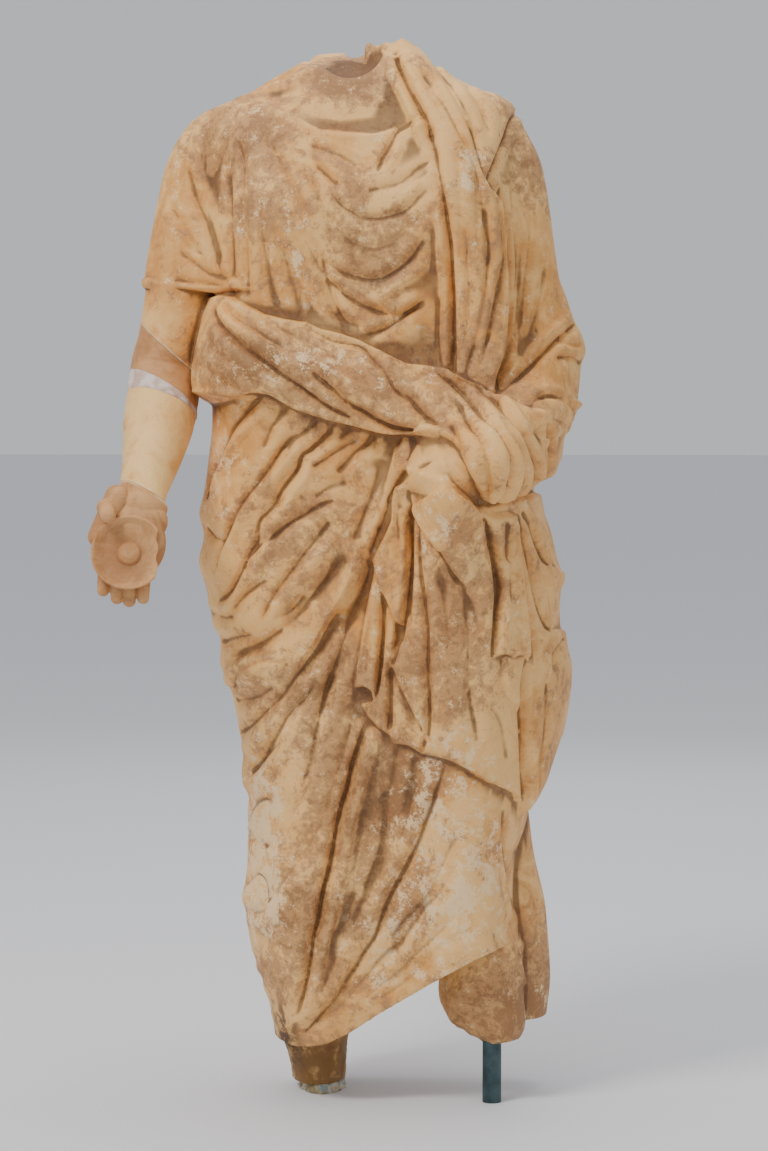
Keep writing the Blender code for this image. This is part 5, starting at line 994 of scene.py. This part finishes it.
def broken_neck(name):
    """The room of the lost head, over a break that rises towards the back."""
    (x, y, height), rise, (right, left) = NECK_BREAK
    bpy.ops.mesh.primitive_cube_add(size=1.0)
    room = bpy.context.object
    room.name = name
    size = Vector(((left - right) * SHARE, 2.0 * NECK_BREAK_ROOM * SHARE, NECK_BREAK_ROOM * SHARE))
    room.data.transform(Matrix.Translation(place(0.5 * (right + left), y, height))
                        @ Matrix.Rotation(math.atan(rise), 4, "X")
                        @ Matrix.Translation((0.0, 0.0, 0.5 * size.z)) @ Matrix.Diagonal((*size, 1.0)))
    return room


def rod_top():
    """Height in metres of the rod's upper end, inside the broken leg."""
    return (LEFT_LEG[-1][2] - GROUND) * SHARE + ROD_DEPTH_IN_STONE


def vertex_rows(thing, what="co"):
    """Places or normals of the vertices, one row each."""
    flat = np.empty(len(thing.data.vertices) * 3)
    thing.data.vertices.foreach_get(what, flat)
    return flat.reshape(-1, 3)


def smoothed(thing, rounds):
    """Places of the vertices after rounds of averaging with their neighbours."""
    edges = np.empty(len(thing.data.edges) * 2, dtype=np.int64)
    thing.data.edges.foreach_get("vertices", edges)
    first, second = edges.reshape(-1, 2).T
    points = vertex_rows(thing)
    count = np.bincount(first, minlength=len(points)) + np.bincount(second, minlength=len(points))
    for _ in range(rounds):
        total = np.stack([np.bincount(first, points[second, k], len(points))
                          + np.bincount(second, points[first, k], len(points))
                          for k in range(3)], axis=-1)
        points = total / np.maximum(count, 1)[:, None]
    return points


def mark_hollows(thing):
    """Write on each vertex how far it lies in a hollow, from 0 on a ridge to 1 in a crease."""
    offset = np.einsum("ij,ij->i", smoothed(thing, HOLLOW_ROUNDS) - vertex_rows(thing),
                       vertex_rows(thing, "normal"))
    hollow = np.clip(0.5 + 0.5 * offset / HOLLOW_DEPTH, 0.0, 1.0)
    attribute = thing.data.attributes.new("hollow", "FLOAT", "POINT")
    attribute.data.foreach_set("value", hollow)


def finish_piece(thing, node, material):
    """A carved piece with its material, in the place of a CAD node."""
    mark_hollows(thing)
    thing.data.materials.clear()
    thing.data.materials.append(material)
    make_active(thing)
    bpy.ops.object.shade_smooth()
    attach(thing, "root")
    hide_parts(node)


def carve_statue():
    """The main block: body, cloth, upper arm, neck and legs, with its breaks."""
    relief = Relief(BODY_COLUMNS, BODY_ROWS)
    for thickness, edge, outline in LAYERS.values():
        relief.layer(outline, thickness, edge)
    for depth, width, lean, points in CREASES:
        relief.crease(laid_on_body(seen(smooth(points))), depth, width, lean)
    for depth, width, points in ROUND_CREASES:
        turn, height = around(smooth(points)).T
        relief.crease(skin(even_turn(turn, height), height), depth, width)
    body = relief.piece("carved statue")
    arm = arm_stretch("upper arm", lower_plane=lower_by(UPPER_BREAK, ARM_STUB))
    statue = join([body, arm, limb("neck", NECK), limb("left leg", LEFT_LEG, wear=0.12),
                   limb("side cloth", SIDE_CLOTH), limb("right leg", RIGHT_LEG, wear=0.10)])
    statue.name = "carved_statue"
    statue = fuse(statue, BODY_GRAIN, BODY_FACES)
    bore = upright("bore", ROD_DIAMETER + 2 * CLEARANCE, ROD_DIAMETER + 2 * CLEARANCE,
                   -GROUND_ROOM, rod_top() + CLEARANCE, ROD_SPOT)
    ground = upright("ground", GROUND_ROOM, GROUND_ROOM, -GROUND_ROOM,
                     MORTAR_THICKNESS + CLEARANCE, ANKLE_SPOT)
    lost_arm = arm_stretch("lost arm", UPPER_BREAK, **CUTTER)
    scoop = ball("scoop of the break", *NECK_SCOOP)
    dip = ball("dip of the break", *NECK_DIP)
    cut_away(statue, [lost_arm, ground, bore, broken_neck("lost head"), scoop, dip])
    return statue


def turned_bowl(name):
    """The libation bowl: a turned dish with a rim and a boss, broken off straight at one side."""
    angle = np.linspace(0.0, 2.0 * np.pi, BOWL_SIDES, endpoint=False)
    rows = []
    for share, behind in BOWL_PROFILE:
        x = share * BOWL_RADIUS * np.cos(angle)
        z = share * BOWL_RADIUS * np.sin(angle)
        y = np.full(BOWL_SIDES, behind * BOWL_THICK)
        x = np.minimum(x, BOWL_BREAK + BREAK_UNEVENNESS * np.sin(BREAK_WAVES * z))
        turned = (x, y * math.cos(BOWL_TILT) + z * math.sin(BOWL_TILT),
                  z * math.cos(BOWL_TILT) - y * math.sin(BOWL_TILT))
        rows.append(np.stack(turned, axis=-1) + BOWL_SPOT)
    return sheet_of_points(name, np.array(rows))


def ball(name, centre, radii, segments=32):
    """An ellipsoid in shares of the height."""
    bpy.ops.mesh.primitive_uv_sphere_add(segments=segments, ring_count=segments // 2, radius=1.0)
    thing = bpy.context.object
    thing.name = name
    size = Matrix.Diagonal((radii[0] * SHARE, radii[1] * SHARE, radii[2] * SHARE, 1.0))
    thing.data.transform(Matrix.Translation(place(*centre)) @ size)
    return thing


def finger(name, start, end, thick_start, thick_end, beads=13):
    """A finger as a close row of balls."""
    row = []
    for number in range(beads):
        part = number / (beads - 1.0)
        spot = [a + (b - a) * part for a, b in zip(start, end)]
        thick = thick_start + (thick_end - thick_start) * part
        row.append(ball(name, spot, (thick, thick, thick), 20))
    return row


def carve_hand():
    """The right hand with the bowl before its palm."""
    things = [turned_bowl("bowl"), ball("palm", *PALM)]
    things += [ball("wrist", centre, radii) for centre, radii in WRIST_BALLS]
    for row in (THUMB, THUMB_TIP, *FINGERS):
        things += finger("finger", *row)
    hand = join(things)
    hand.name = "carved_hand"
    hand = fuse(hand, HAND_GRAIN, HAND_FACES)
    cut_away(hand, [arm_stretch("forearm side", None, WRIST, **CUTTER)])
    return hand


class Value:
    """A number on its way through a material, with sums and products as for plain numbers."""

    def __init__(self, paint, socket):
        self.paint = paint
        self.socket = socket

    def math(self, operation, *others):
        inputs = {number + 1: other for number, other in enumerate(others)}
        return self.paint.node("ShaderNodeMath", {"operation": operation}, {0: self, **inputs})

    def swapped(self, operation, other):
        return self.paint.node("ShaderNodeMath", {"operation": operation}, {0: other, 1: self})

    def __add__(self, other):
        return self.math("ADD", other)

    __radd__ = __add__

    def __sub__(self, other):
        return self.math("SUBTRACT", other)

    def __rsub__(self, other):
        return self.swapped("SUBTRACT", other)

    def __mul__(self, other):
        return self.math("MULTIPLY", other)

    __rmul__ = __mul__

    def __truediv__(self, other):
        return self.math("DIVIDE", other)

    def clamp(self):
        return self.paint.node("ShaderNodeClamp", {}, {"Value": self})

    def step(self, start, end):
        """From 0 at start to 1 at end, smoothly."""
        return self.paint.node("ShaderNodeMapRange", {"interpolation_type": "SMOOTHSTEP"},
                               {"Value": self, "From Min": start, "From Max": end})


class Paint:
    """A material under making."""

    def __init__(self, name):
        self.material = bpy.data.materials.new(name)
        self.material.use_nodes = True
        self.tree = self.material.node_tree
        self.shader = self.tree.nodes["Principled BSDF"]
        self.place = self.node("ShaderNodeTexCoord", {}, {}, "Object")

    def node(self, kind, settings, inputs, output=0):
        """Add any node, with its settings first and then the values or links of its sockets."""
        node = self.tree.nodes.new(kind)
        for name, value in settings.items():
            setattr(node, name, value)
        for name, value in inputs.items():
            if isinstance(value, Value):
                self.tree.links.new(value.socket, node.inputs[name])
            else:
                node.inputs[name].default_value = value
        return Value(self, node.outputs[output])

    def noise(self, scale, detail=4.0, roughness=0.6, distortion=0.0, vector=None):
        """Cloudy noise between 0 and 1, with scale in waves per metre."""
        return self.node("ShaderNodeTexNoise", {"noise_dimensions": "3D"},
                         {"Vector": vector or self.place, "Scale": scale, "Detail": detail,
                          "Roughness": roughness, "Distortion": distortion})

    def mix(self, factor, first, second):
        """Blend two colours."""
        return self.node("ShaderNodeMix", {"data_type": "RGBA"}, {0: factor, 6: first, 7: second}, 2)

    def vector_math(self, operation, first, second, output=0):
        """Combine a vector with a fixed one."""
        return self.node("ShaderNodeVectorMath", {"operation": operation},
                         {0: first, 1: tuple(second)}, output)

    def hollow(self):
        """How far the surface lies in a hollow, as marked on the mesh."""
        return self.node("ShaderNodeAttribute", {"attribute_name": "hollow"}, {}, "Fac")

    def patch(self, spot, radii, soft=0.5):
        """One inside an ellipsoid round a spot in shares of the height, zero well outside it."""
        offset = self.vector_math("SUBTRACT", self.place, place(*spot))
        scaled = self.vector_math("DIVIDE", offset, [radius * SHARE for radius in radii])
        length = self.node("ShaderNodeVectorMath", {"operation": "LENGTH"}, {0: scaled}, "Value")
        return length.step(1.0 + soft, 1.0 - soft)

    def beside_plane(self, plane, reach):
        """One on a plane, zero further from it than a reach in metres."""
        spot, normal = plane
        offset = self.vector_math("SUBTRACT", self.place, place(*spot))
        along = self.vector_math("DOT_PRODUCT", offset, Vector(normal).normalized(), "Value")
        return along.math("ABSOLUTE").step(reach, 0.35 * reach)

    def done(self, colour, roughness, bump=None, depth=0.001, strength=0.5):
        """Link the finished values to the shader."""
        self.tree.links.new(colour.socket, self.shader.inputs["Base Color"])
        if isinstance(roughness, Value):
            self.tree.links.new(roughness.socket, self.shader.inputs["Roughness"])
        else:
            self.shader.inputs["Roughness"].default_value = roughness
        if bump is not None:
            normal = self.node("ShaderNodeBump", {},
                               {"Strength": strength, "Distance": depth, "Height": bump}, "Normal")
            self.tree.links.new(normal.socket, self.shader.inputs["Normal"])
        return self.material


def rgb(red, green, blue):
    """A colour as the eye reads it, 0 to 255, in the linear scale of light."""
    parts = [part / 255.0 for part in (red, green, blue)]
    return (*[part / 12.92 if part < 0.04045 else ((part + 0.055) / 1.055) ** 2.4
              for part in parts], 1.0)


# Colours of the stone as the eye reads them in even light
MARBLE_LIGHT = rgb(246, 193, 118)
MARBLE_GOLD = rgb(224, 157, 78)
MARBLE_ORANGE = rgb(206, 138, 66)
STAIN_BROWN = rgb(182, 132, 86)
STAIN_DARK = rgb(126, 84, 48)
WORN_WHITE = rgb(248, 214, 164)
# Painted shade laid into the creases, brown like grime
CREASE_SHADE_AND_DIRT = rgb(96, 60, 28)
AMBER = rgb(116, 78, 28)
SOOT = rgb(60, 36, 16)
CRACK_MORTAR = rgb(222, 210, 180)
SEAM_REACH = 0.003
ELBOW_MARBLE = (rgb(206, 152, 98), rgb(178, 120, 68))
FOREARM_MARBLE = (rgb(246, 202, 132), rgb(230, 172, 96))
HAND_MARBLE = (rgb(212, 160, 104), rgb(182, 124, 72))

# Clouds, grain, specks and flakes as (waves per metre, detail, roughness, distortion)
BROAD_CLOUDS = (5.0, 4.0, 0.6, 0.6)
MIDDLE_CLOUDS = (15.0, 8.0, 0.70, 0.6)
FINE_GRAIN = (70.0, 8.0, 0.74, 0.4)
SPECKS = (330.0, 5.0, 0.7)
FLAKES = (42.0, 8.0, 0.75, 0.1)

# Where each colour sets in and where it is full
GOLD_EDGE = (0.44, 0.56)
RIDGE_HIGHLIGHT_EDGE = (0.38, 0.10)
ORANGE_EDGE = (0.38, 0.56)
BROWN_EDGE = (0.53, 0.59)
DARK_EDGE = (0.58, 0.66)
PLAIN_BROWN_EDGE = (0.52, 0.60)
LATE_BROWN_EDGE = (0.56, 0.62)
FLAKE_EDGE = (0.52, 0.57)
WHITE_EDGE = (0.57, 0.61)
AMBER_EDGE = (0.30, 0.50)
SOOT_EDGE = (0.42, 0.54)
CREASE_SHADE_EDGE = (0.56, 0.90)
PIT_EDGE = (0.60, 0.66)

# Stained, bleached and reddened places as (x, y, height), radii and strength; one brown place also paints
# shade on the broken left leg
BROWN_PLACES = [
    ((7.0, -13.0, 121.0), (7.0, 9.0, 9.0), 0.9), ((4.4, -6.0, 145.4), (4.6, 9.0, 4.2), 2.4),
    ((-9.0, -12.0, 130.0), (8.0, 12.0, 9.0), 0.7), ((-14.0, -6.0, 137.0), (9.0, 12.0, 5.0), 0.7),
    ((28.0, 0.0, 133.0), (6.0, 14.0, 6.0), 0.9), ((8.0, -16.0, 101.0), (18.0, 14.0, 6.0), 0.8),
    ((-8.0, -14.0, 106.0), (9.0, 10.0, 4.0), 0.8), ((-2.0, -16.0, 82.0), (10.0, 12.0, 9.0), 0.6),
    ((19.0, -18.0, 68.0), (7.0, 10.0, 12.0), 0.9), ((2.0, -14.0, 54.0), (10.0, 12.0, 12.0), 0.7),
    ((6.0, -12.0, 32.0), (9.0, 12.0, 12.0), 0.8), ((-4.0, -12.0, 20.0), (7.0, 10.0, 11.0), 0.8),
    ((11.0, -14.0, 46.0), (6.0, 8.0, 6.0), 0.9), ((-13.0, -8.0, 104.0), (6.0, 12.0, 5.0), 0.6),
    # The strong patch at (25, -5, 11) darkens the broken left leg: a brown stain with painted shade on the
    # stump
    ((25.0, -5.0, 11.0), (8.0, 12.0, 7.0), 1.3), ((22.0, -14.0, 112.0), (5.0, 10.0, 10.0), 0.5),
    ((30.0, 4.0, 14.0), (5.0, 12.0, 9.0), 1.2), ((0.0, -10.0, 60.0), (14.0, 10.0, 4.0), 0.5),
]
WHITE_PLACES = [
    ((-9.0, -10.0, 39.0), (4.6, 12.0, 9.0), 1.0), ((22.0, -16.0, 34.0), (6.0, 9.0, 9.0), 0.75),
    ((13.0, -14.0, 22.0), (9.0, 10.0, 6.0), 0.6), ((19.0, -18.0, 49.0), (5.0, 9.0, 5.0), 0.6),
    ((17.0, -20.0, 84.0), (4.0, 8.0, 6.0), 0.4), ((-15.0, -6.0, 92.0), (4.0, 12.0, 8.0), 0.5),
    ((-9.0, -8.0, 27.0), (4.0, 12.0, 5.0), 0.9), ((21.5, -10.0, 131.0), (2.0, 8.0, 3.0), 0.7),
    ((0.0, -16.0, 104.0), (9.0, 9.0, 3.0), 0.5), ((-3.0, -13.0, 119.0), (3.0, 8.0, 7.0), 0.45),
    ((14.0, -14.0, 38.0), (4.0, 9.0, 8.0), 0.5),
]
ORANGE_PLACES = [
    ((-23.0, 0.0, 122.0), (6.0, 12.0, 9.0), 0.8), ((-8.0, -2.0, 144.0), (7.0, 8.0, 2.5), 1.0),
    ((20.0, -12.0, 118.0), (6.0, 12.0, 12.0), 0.6), ((32.0, 0.0, 100.0), (8.0, 20.0, 14.0), 0.7),
    ((6.0, -14.0, 76.0), (8.0, 12.0, 12.0), 0.5), ((30.0, 0.0, 60.0), (6.0, 20.0, 30.0), 0.6),
    ((-2.0, -13.0, 12.0), (6.0, 12.0, 8.0), 0.6), ((30.0, 0.0, 20.0), (5.0, 20.0, 14.0), 0.8),
]
AMBER_PLACE = ((-1.0, 2.0, 3.2), (9.0, 14.0, 5.0))
SOOTY_PLACE = ((-5.4, -4.0, 7.4), (2.6, 9.0, 5.4))


def spread_of(paint, places):
    """How strongly a set of places marks the surface, from 0 to about 1."""
    mask = 0.0
    for spot, radii, strength in places:
        mask = paint.patch(spot, radii, 0.8) * strength + mask
    return mask


def stone(name, light=MARBLE_LIGHT, gold=MARBLE_GOLD, patches=True, brown=0.5, roughness=0.6,
          seam=None):
    """Weathered marble: cloudy gold and cream, stains, bleached places, painted highlights on the ridges
    and painted shade with brown grime in the creases.
    """
    paint = Paint(name)
    broad = paint.noise(*BROAD_CLOUDS)
    middle = paint.noise(*MIDDLE_CLOUDS)
    fine = paint.noise(*FINE_GRAIN)
    specks = paint.noise(*SPECKS)
    ragged = middle * 0.55 + fine * 0.45
    flaky = paint.noise(*FLAKES) * 0.7 + specks * 0.3
    hollow = paint.hollow()
    colour = paint.mix((broad * 0.5 + middle * 0.5).step(*GOLD_EDGE), light, gold)
    # Painted highlight: the ridges of the folds are lightened towards the light marble colour
    ridge = hollow.step(*RIDGE_HIGHLIGHT_EDGE) * 0.5
    colour = paint.mix(ridge, colour, light)
    if patches:
        orange = spread_of(paint, ORANGE_PLACES) * middle.step(*ORANGE_EDGE)
        colour = paint.mix(orange.clamp() * 0.8, colour, MARBLE_ORANGE)
        # Brown stains from the brown places, which also paint shade on the left leg's stump
        stained_and_shaded = spread_of(paint, BROWN_PLACES)
        level = stained_and_shaded * 0.13 + ragged
        colour = paint.mix(level.step(*BROWN_EDGE) * 0.72, colour, STAIN_BROWN)
        level = stained_and_shaded * 0.10 + (fine * 0.6 + middle * 0.4)
        colour = paint.mix(level.step(*DARK_EDGE) * 0.6, colour, STAIN_DARK)
    else:
        colour = paint.mix(ragged.step(*PLAIN_BROWN_EDGE) * brown, colour, STAIN_BROWN)
    if seam:
        colour = paint.mix(paint.beside_plane(seam, SEAM_REACH) * 0.7, colour, WORN_WHITE)
    colour = paint.mix(ragged.step(*LATE_BROWN_EDGE) * brown, colour, STAIN_BROWN)
    colour = paint.mix(flaky.step(*FLAKE_EDGE) * 0.22, colour, light)
    if patches:
        level = spread_of(paint, WHITE_PLACES).clamp() * 0.12 + flaky
        colour = paint.mix(level.step(*WHITE_EDGE) * 0.85, colour, WORN_WHITE)
        amber = paint.patch(*AMBER_PLACE, 0.4) * ragged.step(*AMBER_EDGE)
        colour = paint.mix(amber * 0.92, colour, AMBER)
        sooty = paint.patch(*SOOTY_PLACE, 0.7) * ragged.step(*SOOT_EDGE)
        colour = paint.mix(sooty * 0.9, colour, SOOT)
        mortar = paint.beside_plane(UPPER_BREAK, SEAM_REACH) * (middle * 1.6).clamp()
        mortar = mortar * paint.patch(UPPER_BREAK[0], (8.0, 9.0, 7.0), 0.1)
        colour = paint.mix(mortar * 0.8, colour, CRACK_MORTAR)
    # Painted shade: the creases are darkened by how deep they lie, mixed with brown grime
    crease_shade_and_dirt = hollow.step(*CREASE_SHADE_EDGE) * (ragged * 0.9 + 0.4)
    colour = paint.mix(crease_shade_and_dirt.clamp() * 0.9, colour, CREASE_SHADE_AND_DIRT)
    pits = specks.step(*PIT_EDGE) * 0.4
    colour = paint.mix(pits, colour, STAIN_DARK)
    bump = fine * 0.8 + specks * 0.4 + middle * 0.5
    return paint.done(colour, middle * 0.2 + roughness - 0.1, bump, 0.0022, 0.7)


def plaster_paint():
    """Pinkish white plaster with darker specks."""
    paint = Paint("plaster")
    cloud = paint.noise(60.0, 5.0, 0.6)
    fine = paint.noise(260.0, 5.0, 0.7)
    colour = paint.mix(cloud.step(0.35, 0.65), rgb(222, 208, 200), rgb(196, 168, 152))
    colour = paint.mix(fine.step(0.60, 0.75) * 0.4, colour, rgb(150, 120, 100))
    return paint.done(colour, 0.85, fine + cloud, 0.0012, 0.6)


def mortar_paint():
    """Grey mortar with whitish and bluish places."""
    paint = Paint("mortar")
    cloud = paint.noise(45.0, 5.0, 0.6)
    fine = paint.noise(220.0, 5.0, 0.7)
    colour = paint.mix(cloud.step(0.4, 0.6), rgb(150, 134, 96), rgb(206, 200, 180))
    colour = paint.mix(paint.noise(30.0, 2.0).step(0.56, 0.62) * 0.8, colour, rgb(118, 140, 146))
    colour = paint.mix(fine.step(0.55, 0.7) * 0.5, colour, rgb(96, 78, 50))
    return paint.done(colour, 0.9, fine + cloud, 0.002, 0.7)


def steel_paint():
    """Dark bluish steel with a little rust."""
    paint = Paint("rod_steel")
    cloud = paint.noise(30.0, 4.0, 0.6)
    fine = paint.noise(180.0, 5.0, 0.7)
    colour = paint.mix(cloud.step(0.35, 0.65), rgb(44, 62, 66), rgb(70, 92, 96))
    colour = paint.mix(fine.step(0.62, 0.70) * 0.7, colour, rgb(120, 96, 66))
    paint.shader.inputs["Metallic"].default_value = 0.5
    return paint.done(colour, cloud * 0.3 + 0.35, fine, 0.0004, 0.4)


def rough_mortar():
    """The bed of mortar under the ankle, trowelled by hand."""
    bed = upright("mortar_bed", MORTAR_WIDTH, MORTAR_DEPTH, 0.0, MORTAR_THICKNESS, ANKLE_SPOT,
                  BED_SIDES)
    start_editing(bed)
    bpy.ops.mesh.subdivide(number_cuts=3)
    bpy.ops.object.mode_set(mode="OBJECT")
    points = vertex_rows(bed)
    centre = place(*ANKLE_SPOT, GROUND)
    bulge = sum(size * waves(points, grain, seed) for size, grain, seed in BED_WAVES)
    level = points[:, 2] / MORTAR_THICKNESS
    spread = 1.0 + bulge + BED_FLARE * (1.0 - level)
    points[:, 0] = centre.x + (points[:, 0] - centre.x) * spread
    points[:, 1] = centre.y + (points[:, 1] - centre.y) * spread
    bed.data.vertices.foreach_set("co", points.ravel())
    bed.data.update()
    return bed


def add_camera():
    """The camera in the viewer's place."""
    bpy.ops.object.camera_add(location=place(*EYE),
                              rotation=(0.5 * math.pi - LOOK_DOWN, 0.0, LOOK_RIGHT))
    camera = bpy.context.object
    camera.data.sensor_fit = "AUTO"
    camera.data.sensor_width = FILM_WIDTH
    camera.data.lens = FOCAL_PIXELS / IMAGE_HEIGHT * FILM_WIDTH
    bpy.context.scene.camera = camera


def add_light(name, place_of, size, power, colour):
    """A large soft lamp that looks at the middle of the figure."""
    bpy.ops.object.light_add(type="AREA", location=place_of)
    lamp = bpy.context.object
    lamp.name = name
    lamp.data.size = size
    lamp.data.energy = power
    lamp.data.color = colour
    way = Vector(LIT_SPOT) - Vector(place_of)
    lamp.rotation_euler = way.to_track_quat("-Z", "Y").to_euler()


def add_stage():
    """A plain pale floor, a pale room and four soft lamps."""
    bpy.ops.mesh.primitive_plane_add(size=FLOOR_SIZE)
    floor = bpy.context.object
    floor.name = "floor"
    paint = bpy.data.materials.new("floor")
    paint.use_nodes = True
    shader = paint.node_tree.nodes["Principled BSDF"]
    shader.inputs["Base Color"].default_value = FLOOR_COLOUR
    shader.inputs["Roughness"].default_value = FLOOR_ROUGHNESS
    floor.data.materials.append(paint)
    world = bpy.data.worlds.new("pale room")
    bpy.context.scene.world = world
    world.use_nodes = True
    sky = world.node_tree.nodes["Background"]
    sky.inputs["Color"].default_value = ROOM_COLOUR
    sky.inputs["Strength"].default_value = ROOM_STRENGTH
    for lamp in LAMPS:
        add_light(*lamp)


add_camera()
add_stage()

marble = stone("statue_marble")
brown_marble = stone("elbow_marble", *ELBOW_MARBLE, False, 0.6)
cream_marble = stone("forearm_marble", *FOREARM_MARBLE, False, 0.12, 0.5, WRIST)
hand_marble = stone("hand_marble", *HAND_MARBLE, False, 0.6, seam=WRIST)

finish_piece(carve_statue(), "statue", marble)
finish_piece(arm_stretch("carved_elbow", UPPER_BREAK, PLASTER_TOP, wear=0.05), "elbow_fragment",
             brown_marble)
finish_piece(arm_stretch("worked_plaster", PLASTER_TOP, PLASTER_FOOT, wear=0.10), "plaster_fill",
             plaster_paint())
finish_piece(arm_stretch("carved_forearm", PLASTER_FOOT, WRIST, wear=0.03), "forearm", cream_marble)
finish_piece(carve_hand(), "hand_with_patera", hand_marble)
finish_piece(rough_mortar(), "ankle_mortar", mortar_paint())

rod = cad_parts["support_rod"]
rod.data.materials.clear()
rod.data.materials.append(steel_paint())
